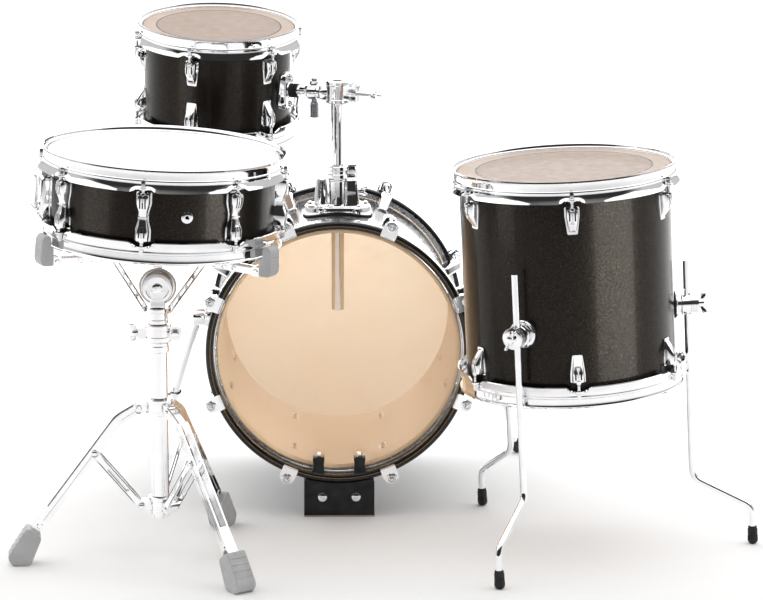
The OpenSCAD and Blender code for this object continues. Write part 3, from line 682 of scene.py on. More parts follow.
def flanged_hoop(r, n, first, gates=()):
    """Pressed steel hoop: rolled lip, collar, bead, and a skirt that turns out into an ear at each rod."""
    step = math.tau / n
    spots = []
    for i in range(n):
        near = [1.3 * k / r for k in range(-18, 19)]
        spots += [math.radians(first) + i * step + a for a in near]
        gap = step - 2 * near[-1]
        inner = max(3, int(gap * r / 5))
        spots += [math.radians(first) + i * step + near[-1] + gap * k / inner for k in range(1, inner)]
    sections = []
    for a in spots:
        s = abs((a - math.radians(first) + step / 2) % step - step / 2) * r
        w = smooth(6.0, 21.0, s)
        ear = 13.6 + math.sqrt(max(0.0, 6.6 ** 2 - s * s))
        line = [(12.1, 8.2), (10.0, 7.9), (8.6, 6.6), (7.9, 4.2), (7.7, 0.5), (7.7, -6.0), (8.7, -7.3),
                (9.1, -8.8), (8.5, -10.4)]
        tail = [((8.4, -13.0), (8.7, -13.2)), ((9.2, -16.0), (9.5, -16.6)),
                ((11.4, -18.6), (10.9, -20.0)), ((13.2, -19.0), (12.4, -23.0)),
                ((ear, -19.0), (13.6, -25.4))]
        line += [(e[0] + (k[0] - e[0]) * w, e[1] + (k[1] - e[1]) * w) for e, k in tail]
        gate = min((abs((a - math.radians(g) + math.pi) % math.tau - math.pi) * r for g in gates),
                   default=99)
        if gate < 17:      # the strap's gate: the collar stops at the bearing edge
            lift = smooth(17, 14, gate)
            line = [(q, z + (min(0.0, -3.5 - z) if z > -6 else 0) * lift) for q, z in line]
        left, right = [], []
        for k, (q, z) in enumerate(line):
            q0, z0 = line[max(k - 1, 0)]
            q1, z1 = line[min(k + 1, len(line) - 1)]
            length = math.hypot(q1 - q0, z1 - z0) or 1
            nx, nz = -(z1 - z0) / length * 1.1, (q1 - q0) / length * 1.1
            left.append((r + q + nx, z + nz))
            right.append((r + q - nx, z - nz))
        loop = left + right[::-1]
        sections.append([(q * math.cos(a), q * math.sin(a), z) for q, z in loop])
    k = len(sections[0])
    verts = [v for s in sections for v in s]
    m = len(sections)
    faces = [(i * k + j, (i + 1) % m * k + j, (i + 1) % m * k + (j + 1) % k, i * k + (j + 1) % k)
             for i in range(m) for j in range(k)]
    seat = lathe([(r + 3.4, 0.6), (r + 7.2, 0.6), (r + 7.2, 2.9), (r + 4.2, 2.7), (r + 3.4, 1.9)], 160)
    return both(clean(verts, faces), seat)


def tension_rod(reach, ear_top=-17.8, square=9.0):
    """Threaded rod with its washer and square key head; z = 0 is the bearing edge."""
    thread = repeat(-reach, ear_top - 6, 1.1, (2.35, 0), (2.75, 0.45), (2.35, 0.9))
    shank = turned(thread + [(2.7, ear_top - 5.5), (2.7, ear_top + 1)], 16)
    washer = turned([(4.5, 0), (4.9, 0.3), (4.9, 1.1), (4.5, 1.5), (3.2, 1.6)], 24)
    collar = turned([(4.0, 1.5), (4.2, 1.9), (4.0, 2.9), (3.4, 3.3)], 24)
    top = 3 + square
    head = rings([[(x, y, z) for x, y in rect(-s, s, -s, s)] for s, z in ((3.0, 2.4), (3.0, top - 1.6),
                                                                          (2.5, top - 0.5), (1.4, top))])
    return both(shank, moved(both(washer, collar, head), move(0, 0, ear_top)))


def d_section(x0, depth, w, z, power=0.42, n=16):
    """D-shaped ring at height z: flat against the shell at x0, bulging outwards."""
    out = []
    for i in range(n + 1):
        a = math.pi * (i / n - 0.5)
        c, s = max(0.0, math.cos(a)), math.sin(a)
        out.append((x0 + depth * c ** power, w * math.copysign(abs(s) ** power, s), z))
    return out


def base_plate(r, outline, thick=2.0):
    """Plate on the shell: outline of (across, up) points."""
    ring = softened(outline, 2.2)
    return moved(plate([(y, z) for y, z in ring], -r - thick, -r + 0.7), turn(90))


def lug_slots(x0, x1, pitch, half, z0, z1):
    """Three upright slots side by side, between x0 and x1 from the drum's axis."""
    return [block(x0, x1, y - half, y + half, z0, z1, 0.5) for y in (-pitch, 0.0, pitch)]


def lug_painted_shade(r, deep, z0, z1, w0):
    """Black plates of painted shade on the floors of a tom lug's slots and across its open mouth."""
    # the mouth and slot plates are black sheets standing in for shade, not unplated metal
    drop = z0 - z1
    mouth = rings([d_section(r + 1.6, deep - 3.4, w0 - 2.4, z) for z in (z0 - 0.4, z0 + 0.15)])
    return both(mouth, *lug_slots(r + deep - 4.2, r + deep - 3.1, 4.3, 1.15, z0 - drop * 0.46,
                                  z0 - drop * 0.12))


def swivel_nut(r, z):
    return moved(turned([(4.4, -3), (4.4, 1.2), (4.0, 2.0), (3.1, 2.2)], 24), move(r, 0, z))


def tom_lug(r, rod_at, deep, z0, z1, w0, w1):
    """Tapered lug on its base plate, slotted, with a swivel nut at the mouth."""
    drop = z0 - z1
    levels = [(0.0, deep - 1.6, w0 - 0.8), (0.02, deep - 0.5, w0 - 0.2), (0.07, deep, w0),
              (0.36, deep + 1.1, w0 - 0.5), (0.5, deep - 0.9, w0 - 1.0),
              (0.72, deep * 0.62, (w0 + w1) / 2 - 0.3), (0.9, deep * 0.3, w1 + 0.3),
              (0.98, deep * 0.14, w1), (1.0, deep * 0.06, w1 - 1)]
    body = rings([d_section(r - 0.4, dep, w, z0 - drop * t) for t, dep, w in levels])
    body = cut(body, *lug_slots(r + deep - 3.4, r + deep + 4, 4.3, 1.1, z0 - drop * 0.46, z0 - drop * 0.12))
    back = base_plate(r, [(-w0 - 1.8, z0 + 2), (w0 + 1.8, z0 + 2), (w0 + 1.8, z0 - drop * 0.3),
                          (w1 + 1.8, z1 - 2.2), (-w1 - 1.8, z1 - 2.2), (-w0 - 1.8, z0 - drop * 0.3)])
    return both(body, back, swivel_nut(r + rod_at, z0))


def bow_tie_lug(r, rod_at, half):
    """Double-ended lug with a waist, slotted on both halves."""
    levels = []
    upper = (0.1, 0.26, 0.44, 0.62, 0.8, 0.94, 0.985, 1.0)
    for t in [-t for t in upper[::-1]] + list(upper):
        a = abs(t)
        pinch = smooth(0.08, 0.62, a)
        end = 1.0 if a < 0.9 else (0.97 if a < 0.96 else (0.93 if a < 0.99 else 0.85))
        levels.append((t * half, (13.0 + 5.8 * pinch) * end, (6.6 + 3.8 * pinch) * end))
    body = rings([d_section(r - 0.4, dep, w, z) for z, dep, w in levels])
    for s in (-1, 1):
        body = cut(body, *lug_slots(r + 15.4, r + 24, 4.0, 1.0, *sorted((s * half * 0.4, s * half * 0.84))))
    band = block(r + 2.5, r + 13.6, -7.0, 7.0, -0.8, 0.8, 1.2)
    edge = [(11.9, half + 2), (11.9, half * 0.55), (8.0, 6), (8.0, -6), (11.9, -half * 0.55),
            (11.9, -half - 2)]
    back = base_plate(r, edge + [(-y, z) for y, z in edge[::-1]])
    nut = swivel_nut(r + rod_at, half)
    return both(body, band, back, nut, moved(nut, FLIP))


def wing(span, shank, r=4.0, thick=4.4):
    """Wing screw along +Z: threaded shank below z = 0, hub and two swept wings above."""
    thread = repeat(-shank, -1.5, 1.2, (r - 0.45, 0), (r, 0.5), (r - 0.45, 1.0))
    screw = turned(thread + [(r - 0.2, 0.2), (r - 0.2, 1.0)], 20)
    hub = turned([(r + 1.6, -0.2), (r + 2.6, 0.6), (r + 2.6, 6.6), (r + 1.8, 8.6), (r - 1.0, 9.4)], 32)
    wings = []
    for s in (-1, 1):
        spine = [(2.0 * s, 3.8), (span * 0.22 * s, 6.0), (span * 0.36 * s, 9.8),
                 (span * 0.5 * s - 4.6 * s, 13.4)]
        spine = rounded([(x, 0, z) for x, z in spine], 9, 5)
        k = len(spine) - 1
        sections = []
        for i, point in enumerate(spine):
            t = (spine[min(i + 1, k)] - spine[max(i - 1, 0)]).normalized()
            across = Vector((-t.z, 0, t.x))
            u = i / k
            wide = 3.4 + 1.5 * math.sin(math.pi * min(1.0, u * 1.02) ** 1.4)
            wide *= 1.0 if u < 0.9 else (0.86 if u < 0.97 else 0.5)
            flat = thick / 2 * (1.0 if u < 0.9 else 0.75)
            sections.append([point + across * wide * math.cos(a) + Vector((0, flat * math.sin(a), 0))
                             for a in (math.tau * j / 18 for j in range(18))])
        wings.append(rings(sections))
    return both(screw, hub, *wings)


def wing_piece(node, body, name, size, place, slot="chrome", look=None):
    Piece(node, body, slot, look or CHROME, name=name).add(wing(*size), place).done(0.3)


# ---------------------------------------------------------------- bass drum

BASS = Drum("bass_shell", 203.2, 355.6, 8, 22.5, turn(-90, "X"))
ROOT = "kit_frame"
BASS_ROD = 229.0
HOOP_IN = 28.7      # bass bearing edge behind the hoop's face
HOOP_R = 220.0

make_shell("bass_shell", ROOT, BASS, MAPLE_BASS)


def bass_heads():
    """Clear head on the player's side, cream head on the audience's side."""
    p = Piece("bass_heads", ROOT, "clear_film", CLEAR, CREAM, ALLOY)
    for edge, kind in zip(BASS.edges, (1, 0)):
        p.add(lathe(rect(0, 199, 0.1, 0.45), 192), edge, mat=kind)
        p.add(lathe([(199, 0.1), (199, 0.45), (203.4, 0.5), (205.4, 0.1), (206.2, -2.5), (206.6, -5),
                     (206.1, -5), (205.5, -2.6), (204.6, -0.5), (203.0, 0.1)], 192), edge, mat=kind)
        p.add(lathe([(204.3, -8), (212.4, -8), (212.9, -7.4), (212.9, 0.8), (212.2, 1.5), (206.4, 1.5),
                     (205.6, 0.6), (206.9, -3), (206.9, -6.4), (204.3, -6.4)], 192), edge, mat=2)
    return p.done(bevel=0, angle=50)


def bass_hoops():
    """Lacquered ply hoops with a strip of the wrap let into the rim and a fine gold line on the face."""
    p = Piece("bass_hoops", ROOT, "black_lacquer", LACQUER, SPARKLE, GOLD)
    a, b, top, low = 207.0, HOOP_R, HOOP_IN, HOOP_IN - 38
    body = [(a, 1.8), (a, top - 3.4), (a + 0.8, top - 1.2), (a + 3.0, top), (b - 4.4, top),
            (b - 1.6, top - 1.0), (b - 0.3, top - 3.6), (b, top - 6.0), (b, low + 5),
            (b - 0.8, low + 1.6), (b - 3, low), (213.4, low), (213.4, 1.8)]
    p.add(lathe(body, 240), *BASS.edges)
    p.add(lathe([(b - 0.6, 4.5), (b + 0.12, 4.6), (b + 0.12, 15.4), (b - 0.6, 15.5)], 240), *BASS.edges,
          mat=1)
    for z in (3.6, 16.2):
        p.add(lathe([(b - 0.6, z - 0.4), (b + 0.15, z - 0.35), (b + 0.15, z + 0.35), (b - 0.6, z + 0.4)],
                    240), *BASS.edges, mat=2)
    p.add(lathe(rect(212.2, 212.7, top - 0.5, top + 0.12), 240), *BASS.edges, mat=2)
    return p.done(bevel=0, angle=50)


def bass_claws():
    """Claw: face plate with a rolled inner lip, a wall over the hoop and a boss for the rod."""
    face = [(208.6, -13), (208.6, 13), (222, 13.4), (229, 12.2), (234, 9.4), (237.2, 5), (238.2, 0),
            (237.2, -5), (234, -9.4), (229, -12.2), (222, -13.4)]
    z = HOOP_IN + 0.2
    lip = sweep([(209.2, -12.4, z + 2.6), (209.2, 12.4, z + 2.6)], 1.5, 16)
    front = moved(plate([(x, -y) for x, y in softened(face, 1.6)], z, z + 2.8), ON_Y)
    wall = block(HOOP_R + 0.3, HOOP_R + 3.6, -11.5, 11.5, 6.5, z + 1, 1.5)
    ribs = [plate([(HOOP_R + 2, 10), (231, z - 6), (234, z + 1), (HOOP_R + 2, z + 1)], y, y + 2.2)
            for y in (-11.4, 9.2)]
    boss = moved(turned([(6.2, 12.6), (7.0, 13.6), (7.6, z - 2), (8.4, z + 2.4), (9.0, z + 3.6),
                         (8.4, z + 4.8), (6.4, z + 5.2), (5.6, z + 4.4), (5.6, z + 3.4)], 40),
                 move(BASS_ROD, 0, 0))
    claw = both(lip, front, wall, *ribs, boss)
    p = Piece("bass_claws", ROOT, "chrome", CHROME)
    return p.add(claw, *BASS.around()).done(0.5)


def bass_rods():
    p = Piece("bass_tension_rods", ROOT, "plated_steel", ROD, name="bass_rods")
    rod_solid = tension_rod(70, HOOP_IN + 3.4, 5.5)
    return p.add(moved(rod_solid, move(BASS_ROD, 0, 0)), *BASS.around()).done(0.25)


def bass_lugs():
    deep, z0, z1, wide = 29.0, -49.0, -89.0, 10.2
    lug = tom_lug(BASS.r, BASS_ROD - BASS.r, deep, z0, z1, wide, 7.2)
    p = Piece("bass_lugs", ROOT, "chrome", CHROME, PAINT)
    # black plates of painted shade in the lugs' slots and mouths
    p.add(lug_painted_shade(BASS.r, deep, z0, z1, wide), *BASS.around(), mat=1)
    return p.add(lug, *BASS.around()).done(0.5)


def bass_screws():
    """Round heads with a cross slot: two inside the shell behind each lug, and those of the riser."""
    dome = turned([(4.6, 0.0), (4.6, 0.7), (3.9, 1.9), (2.6, 2.8), (1.0, 3.2)], 28)
    dome = cut(dome, block(-3, 3, -0.5, 0.5, 1.9, 5, 0.2), block(-0.5, 0.5, -3, 3, 1.9, 5, 0.2))
    washer = turned([(6.4, -0.4), (6.6, 0.1), (6.2, 0.5), (4.0, 0.6)], 28)
    screw = both(dome, washer)
    p = Piece("bass_screws", ROOT, "chrome", CHROME, BLACK_RUBBER)
    for z in (-60, -80):
        p.add(moved(screw, move(BASS.r - 7.3, 0, z) @ turn(-90, "Y")), *BASS.around())
    big = turned([(8.0, 0.0), (8.0, 0.9), (7.4, 2.0), (5.6, 3.0), (2.6, 3.7), (1.0, 3.8)], 40)
    big = cut(big, block(-8.5, 8.5, -0.7, 0.7, 2.6, 6, 0.3))
    front = corners("bass_riser")[0].y
    for side in (-1, 1):
        at = move(28 * side, front, 34) @ ON_Y
        p.add(big, at @ move(0, 0, 0.1) @ turn(17 * side))
        p.add(turned([(9.2, -0.2), (9.4, 0.2), (9.0, 0.7), (7.5, 0.8)], 40), at, mat=1)
        p.add(turned([(3.4, -10), (3.4, 0.5)], 20), at)
        p.add(hex_bolt(), move(34 * side, front + 13, mid("bass_shell").z - 177) @ turn(-6 * side, "Y"))
    return p.done(0.3)


def hex_bolt():
    head = knurled(6, 0, [(5.6, 0.8), (5.9, 1.3), (5.9, 5.0), (5.0, 6.0), (3.0, 6.4)])
    return both(head, turned([(7.0, 0.0), (7.2, 0.3), (7.0, 1.2), (5.0, 1.4)], 32))


def bass_riser():
    """Folded plate under the hoop with a felt strip at its foot, and two clamp blocks with a pad."""
    low, high = corners("bass_riser")
    half, z_axis, y0 = high.x, mid("bass_shell").z, low.y
    p = Piece("bass_riser", ROOT, "black_steel", PAINT, BLACK_RUBBER, BAND)
    spots = [(half - 3) * (1 - k / 12) for k in range(25)]
    arc = [(x, z_axis - math.sqrt((HOOP_R + 0.3) ** 2 - x * x)) for x in spots]
    side = [(-half, 2.2), (half, 2.2), (half, 60), (half - 3, arc[0][1] + 1.5)]
    wall = plate(side + arc[1:-1] + [(-half + 3, arc[-1][1] + 1.5), (-half, 60)], y0, y0 + 4)
    p.add(wall, AS_IT_IS, move(0, 46, 0))
    p.add(block(-half, half, y0 + 1, y0 + 49, 1.6, 5.6, 2))
    bend = sweep([(-half + 0.2, y0 + 2.4, 3.4), (half - 0.2, y0 + 2.4, 3.4)], 2.4, 16)
    p.add(bend, AS_IT_IS, move(0, 45.2, 0))
    p.add(block(-half - 0.8, half + 0.8, y0 - 0.9, y0 + 50.9, 0, 2.4, 3), mat=2)
    top = z_axis - 178
    for x in (-34, 34):
        clamp = [(x - 10, top), (x + 10, top), (x + 8.5, top - 12), (x + 9.5, top - 31),
                 (x - 9.5, top - 31), (x - 8.5, top - 12)]
        p.add(plate(softened(clamp, 2.0), y0 + 3, y0 + 23))
        p.add(slab(x - 8, x + 8, top - 24, top - 31.5, 1.5, y0 + 1.5, y0 + 3.2), mat=1)
    return p.done(0.5)


bass_heads()
bass_hoops()
bass_claws()
bass_rods()
bass_lugs()
bass_screws()
bass_riser()


# ---------------------------------------------------------------- spurs

TIP_R = 9.0         # round end of a spur's rubber tip


def spurs():
    """Folding spurs: cast bracket, knuckle, outer tube with its clamp, inner rod and rubber tip."""
    pivot, _ = joint("right_spur_fold")
    _, high = corners("spur_rod_right")
    tip = Vector((high.x - TIP_R, high.y - TIP_R, TIP_R))
    length = (tip - pivot).length
    r = BASS.r
    # flat oval foot that follows the shell, a waist and a round head for the knuckle
    sections = []
    for t, w, h in ((0.0, 24, 27), (0.2, 24, 27), (0.32, 22.5, 25.5), (0.5, 19, 20), (0.8, 17, 17.5),
                    (1.0, 17, 17)):
        ring = []
        for k in range(40):
            a = math.tau * k / 40
            c, s = math.cos(a), math.sin(a)
            y, z = w * math.copysign(abs(c) ** 0.7, c), h * math.copysign(abs(s) ** 0.7, s)
            dz = pivot.z + z - mid("bass_shell").z
            surface = math.sqrt(max(1.0, (r + 0.2) ** 2 - dz * dz))
            x = surface + (r + 22.9 - surface) * t
            ring.append((x, pivot.y + y, pivot.z + z))
        sections.append(ring)
    bracket = rings(sections)
    cap = moved(turned([(13.5, -0.2), (13.8, 0.2), (13.0, 0.6), (9, 0.7)], 40),
                move(r + 22.4, pivot.y, pivot.z) @ ON_X)
    p = Piece("spur_brackets", ROOT, "chrome", CHROME)
    p.add(bracket, AS_IT_IS, MIRROR).add(cap, AS_IT_IS, MIRROR).done(0.4)

    axis = along(pivot, tip)
    end = 0.6 * length
    knuckle = moved(turned([(13.6, 0.2), (15, 1.4), (15, 17), (13.6, 20.4), (9.0, 22.2), (4.0, 22.8)],
                           48), move(r + 23.4, pivot.y, pivot.z) @ ON_X)
    tube = moved(lathe([(5.1, 20), (7.5, 8), (7.5, end - 25), (9.6, end - 24), (10.6, end - 22.6),
                        (10.6, end - 3), (9.8, end - 1.2), (8.4, end), (5.1, end)], 40), axis)
    at_bolt = axis @ move(0, 0, end - 12) @ turn(-90, "Y")
    bolt = moved(wing(26, 6, 3.0, 3.4), at_bolt @ move(0, 0, 12.5) @ turn(90))
    boss = moved(turned([(5.4, 8), (5.4, 11.6), (4.6, 12.4)], 24), at_bolt)
    inner = moved(turned([(5.0, 0.3 * length), (5.0, length - 17)], 32), axis)
    tip_shape = moved(turned([(6.2, length - 21), (7.6, length - 19.6), (8.7, length - 16),
                              (9.0, length - 3), (8.2, length + 2.8), (6.4, length + 6.0),
                              (3.4, length + 8.2), (1.2, length + 8.9)], 40), axis)
    grooves = [moved(lathe([(8.5, length - q), (9.25, length - q + 0.8), (8.5, length - q + 1.6)], 40),
                     axis) for q in (13, 10, 7)]
    for side, m in (("right", AS_IT_IS), ("left", MIRROR)):
        p = Piece(f"spur_tube_{side}", f"{side}_spur", "chrome", CHROME)
        p.add(knuckle, m).add(tube, m).add(boss, m).add(bolt, m).done(0.4)
        p = Piece(f"spur_rod_{side}", f"{side}_spur_rod", "chrome", CHROME, BLACK_RUBBER)
        p.add(inner, m)
        for s in (tip_shape, *grooves):
            p.add(s, m, mat=1)
        p.done(0.3)


spurs()


# ---------------------------------------------------------------- tom mount

POST, _ = joint("tom_swivel")      # the clamp's centre on the post's axis
POST_R = 11.1
TOWER_TOP = corners("mount_base")[1].z
PLINTH = 466.0
RACK_R = 127.0


def oval(w, d, n=64):
    """Two half circles of diameter d joined by straight sides, w long in all."""
    out = []
    for k in range(n):
        a = math.tau * k / n
        x, y = d / 2 * math.cos(a), d / 2 * math.sin(a)
        out.append((x + math.copysign((w - d) / 2, x) if abs(x) > 1e-6 else x, y))
    return out


def dished(w, d, levels, skin):
    """Oval casting that follows the bass shell at its foot; levels are (height share, inset, top height)."""
    z_axis = mid("bass_shell").z
    sections = []
    for share, inset, top in levels:
        ring = []
        for x, y in oval(w - 2 * inset, d - 2 * inset):
            foot = z_axis + math.sqrt((BASS.r + skin) ** 2 - x * x)
            ring.append((x, POST.y + y, foot + (top - foot) * share))
        sections.append(ring)
    return rings(sections)


def tom_mount():
    p = Piece("mount_gasket", ROOT, "rubber", BLACK_RUBBER)
    top = PLINTH + 29
    p.add(dished(119, 82, [(0.0, 0.4, top), (0.05, 0, top), (0.13, 0.3, top)], 0.2)).done(0.3)

    p = Piece("mount_base", ROOT, "chrome", CHROME)
    dish = dished(115, 78, [(0.06, 0.2, top), (0.14, 0, top), (0.5, 0.3, top), (0.78, 1.6, top),
                            (0.93, 4.4, top), (1.0, 9, top)], 1.7)
    p.add(dish)
    mouth = move(0, POST.y, 0)
    collar = lathe([(POST_R + 0.1, 480), (16, 480), (16, top + 1), (15.4, top + 4), (15.4, TOWER_TOP - 4),
                    (16.4, TOWER_TOP - 3), (16.4, TOWER_TOP - 0.8), (15.6, TOWER_TOP),
                    (POST_R + 0.1, TOWER_TOP)], 64)
    p.add(collar, mouth)
    tower = turned([(14.6, top - 4), (14.2, top + 1), (12.7, top + 3.5), (9.6, TOWER_TOP - 6),
                    (9.0, TOWER_TOP - 1.8), (7.6, TOWER_TOP - 0.5), (5.0, TOWER_TOP - 0.1)], 48)
    p.add(tower, move(-27, POST.y, 0))
    hood = []
    low, high = top - 3, TOWER_TOP - 0.5
    for t, x1, w in ((0.0, 39, 13.5), (0.12, 37.4, 12.6), (0.5, 35.6, 11.4), (0.85, 34.6, 10.6),
                     (0.95, 33.2, 9.6), (1.0, 30, 7.6)):
        hood.append(soft_box(11, x1, w, low + (high - low) * t, 5.5))
    p.add(rings(hood), mouth)
    for x in (-48, 48):
        z = mid("bass_shell").z + math.sqrt(BASS.r ** 2 - x * x)
        p.add(turned([(5.2, 16), (5.2, 20.5), (4.4, 22.2), (2.6, 23.2)], 32), move(x * 0.98, POST.y, z))
    p.add(turned([(7.4, -2), (7.4, 0.8), (6.6, 1.6), (4.2, 1.7)], 32),
          move(35.2, POST.y, joint("mount_wing_turn")[0].z) @ ON_X)
    p.done(0.5)

    at_wing, _ = joint("mount_wing_turn")
    wing_piece("mount_wing_screw", "mount_wing", "mount_wing", (38, 12), Matrix.Translation(at_wing)
               @ ON_X @ turn(55))

    p = Piece("mount_post", "post", "chrome", CHROME, BLACK_RUBBER)
    a, b = (c.z for c in corners("mount_post"))
    p.add(lathe([(9.4, a + 0.6), (10.4, a), (POST_R, a + 0.9), (POST_R, b - 0.9), (10.4, b),
                 (9.4, b - 0.6)], 64), mouth)
    z = TOWER_TOP + 0.3
    p.add(lathe([(POST_R, z), (17.6, z), (19, z + 1.2), (19, z + 7.4), (18.2, z + 8.4), (18.2, z + 13.6),
                 (19, z + 14.6), (19, z + 20.6), (17.8, z + 22), (POST_R, z + 22)], 64), mouth)
    lug = rect(16, 31, -7.5, 7.5)
    p.add(rings([[(x + dx, POST.y + y * s, h) for x, y in softened(lug, 3.2)] for h, s,
                 dx in ((z + 1, 0.94, -0.4), (z + 2.2, 1, 0), (z + 19.8, 1, 0), (z + 21, 0.94, -0.4))]))
    p.add(block(15, 32, POST.y - 0.7, POST.y + 0.7, z - 0.1, z + 22.1, 0.4), mat=1)
    head = turned([(4.4, 0), (4.4, 3.4), (3.8, 4.2), (2.6, 4.3), (2.6, 2.2)], 24)
    p.add(head, move(24.5, POST.y - 7.6, z + 11) @ ON_Y)
    p.done(0.4)


tom_mount()


def tom_clamp():
    """Split swivel clamp, arm with its ribbed tilt bolt, and the tom's bracket with its rubber nut."""
    _, arm = joint("tom_tilt")
    swing = math.degrees(math.atan2(arm.y, arm.x))
    at = Matrix.Translation(POST) @ turn(swing)
    reach = (mid("rack_shell").xy - POST.xy).length - RACK_R
    p = Piece("tom_clamp", "clamp", "chrome", CHROME, BLACK_RUBBER, STEEL)
    p.add(lathe([(POST_R + 0.1, -17), (18.6, -17.4), (20, -16), (20, -11.5), (19, -10.4), (19, 12.6),
                 (20, 13.8), (20, 18.6), (18.4, 20.6), (12, 21.4), (9.4, 20.9), (9.4, 19.6),
                 (POST_R + 0.1, 17)], 72), at)
    for y0, y1 in ((1.4, 10.6), (-10.6, -1.4)):
        jaw = [(-38, -12), (-33.5, -16), (-12, -16), (-12, 17), (-33.5, 17), (-38, 13)]
        p.add(plate(softened(jaw, 2.6), y0, y1), at)
    for z in (-13.4, 14.4):
        p.add(block(-39, -16, -11.4, 11.4, z - 1.7, z + 1.7, 1.6), at)
    p.add(block(-37, -18, -1.4, 1.4, -13, 13, 0.6), at, mat=1)
    neck = turned([(13.2, 14), (14, 17), (14, 27), (13.2, 29), (12, 30.5), (12, 34), (13.8, 35.5),
                   (14, 37), (14, 50.4), (12.6, 52), (7, 52.4)], 56)
    p.add(neck, at @ ON_X)
    p.add(turned([(6.5, 51), (6.5, reach - 13.5), (5.6, reach - 12.4)], 40), at @ ON_X)
    p.add(knurled(6, 0, [(8.6, 53.0), (9.2, 53.6), (9.2, 58.6), (8.6, 59.2)]), at @ ON_X)
    bolt = [(4.2, -44.0), (6.4, -43.8)]
    bolt += repeat(-43.0, -20, 2.9, (7.5, 0), (7.5, 1.5), (6.7, 1.9), (6.7, 2.5))
    bolt += [(7.2, -18.6), (6.0, -17.6), (5.0, -17.0), (5.0, 21.6), (4.2, 22.8)]
    p.add(turned(bolt, 40), at @ move(42, 0, 0), mat=2)
    p.add(turned([(8.4, 13.6), (8.8, 14.2), (8.8, 17), (7.8, 18), (5, 18.1)], 40), at @ move(42, 0, 0))
    p.done(0.4)

    wing_piece("clamp_wing_nut", "clamp_wing", "clamp_wing", (34, 38), at @ move(-62, 0, 0)
               @ turn(-90, "Y") @ turn(78))

    p = Piece("rack_bracket", "rack_tom", "chrome", CHROME, BLACK_RUBBER)
    nut = knurled(40, 0.7, [(11.0, reach - 24), (12.0, reach - 23.2), (12.0, reach - 8.5),
                            (11.2, reach - 7.6)])
    p.add(nut, at @ ON_X, mat=1)
    p.add(turned([(9.4, reach - 25.6), (10, reach - 25), (10, reach - 23.8), (9, reach - 23.4)], 40),
          at @ ON_X)
    pad = []
    for x, w, h in ((reach - 8.2, 15.5, 27), (reach - 7.4, 17.2, 29.4), (reach - 5.0, 18.6, 31.4),
                    (reach + 2, 19.6, 33), (reach + 9, 20.2, 34)):
        c, d = w * 0.72, h * 0.72
        corner = [(-w, -d), (-c, -h), (c, -h), (w, -d), (w, d), (c, h), (-c, h), (-w, d)]
        pad.append([(x, y, z) for y, z in softened(corner, 5)])
    p.add(rings(pad), at)
    for z in (-23, 23):
        p.add(turned([(5.4, 0), (5.4, 2.4), (4.4, 3.4), (2.8, 3.6), (2.6, 2.0)], 28),
              at @ move(reach - 7.8, 0, z) @ turn(-90, "Y"))
    p.add(turned([(14.2, 0), (14.2, 1.4), (13, 2.2), (9, 2.3)], 40), at @ move(reach - 7.6, 0, 0)
          @ turn(-90, "Y"))
    p.done(0.5)


tom_clamp()


# ---------------------------------------------------------------- rack tom and floor tom

ROD_OUT = 13.5      # tension rods outside the shell
TOM_TOP = [(0.0, 0.824, TAN), (0.824, 0.844, RING), (0.844, 1.0, BAND)]
TOM_LOW = [(0.0, 1.0, BAND)]


def tom(name, d, body, lug_w):
    make_shell(f"{name}_shell", body, d, MAPLE)
    make_heads(f"{name}_heads", body, "tan_film", d, TOM_TOP, TOM_LOW)
    p = Piece(f"{name}_hoops", body, "chrome", CHROME)
    p.add(flanged_hoop(d.r, d.n, d.first), *d.edges).done(bevel=0, angle=42)
    deep, z0, z1 = 16.5, -33, -72
    lug = tom_lug(d.r, ROD_OUT, deep, z0, z1, *lug_w)
    p = Piece(f"{name}_lugs", body, "chrome", CHROME, PAINT)
    # black plates of painted shade in the lugs' slots and mouths
    p.add(lug_painted_shade(d.r, deep, z0, z1, lug_w[0]), *d.around(), mat=1)
    p.add(lug, *d.around()).done(0.4)
    p = Piece(f"{name}_tension_rods", body, "plated_steel", ROD, name=f"{name}_rods")
    p.add(moved(tension_rod(56), move(d.r + ROD_OUT, 0, 0)), *d.around()).done(0.25)


RACK = Drum("rack_shell", RACK_R, 178.0, 6, 252, lean((8.1, 1.8, 0)))
FLOOR = Drum("floor_shell", 166.0, 337.0, 6, 269, lean((1.3, -2.96, 0)))
tom("rack", RACK, "rack_tom", (9.4, 6.4))
tom("floor", FLOOR, ROOT, (9.8, 6.0))


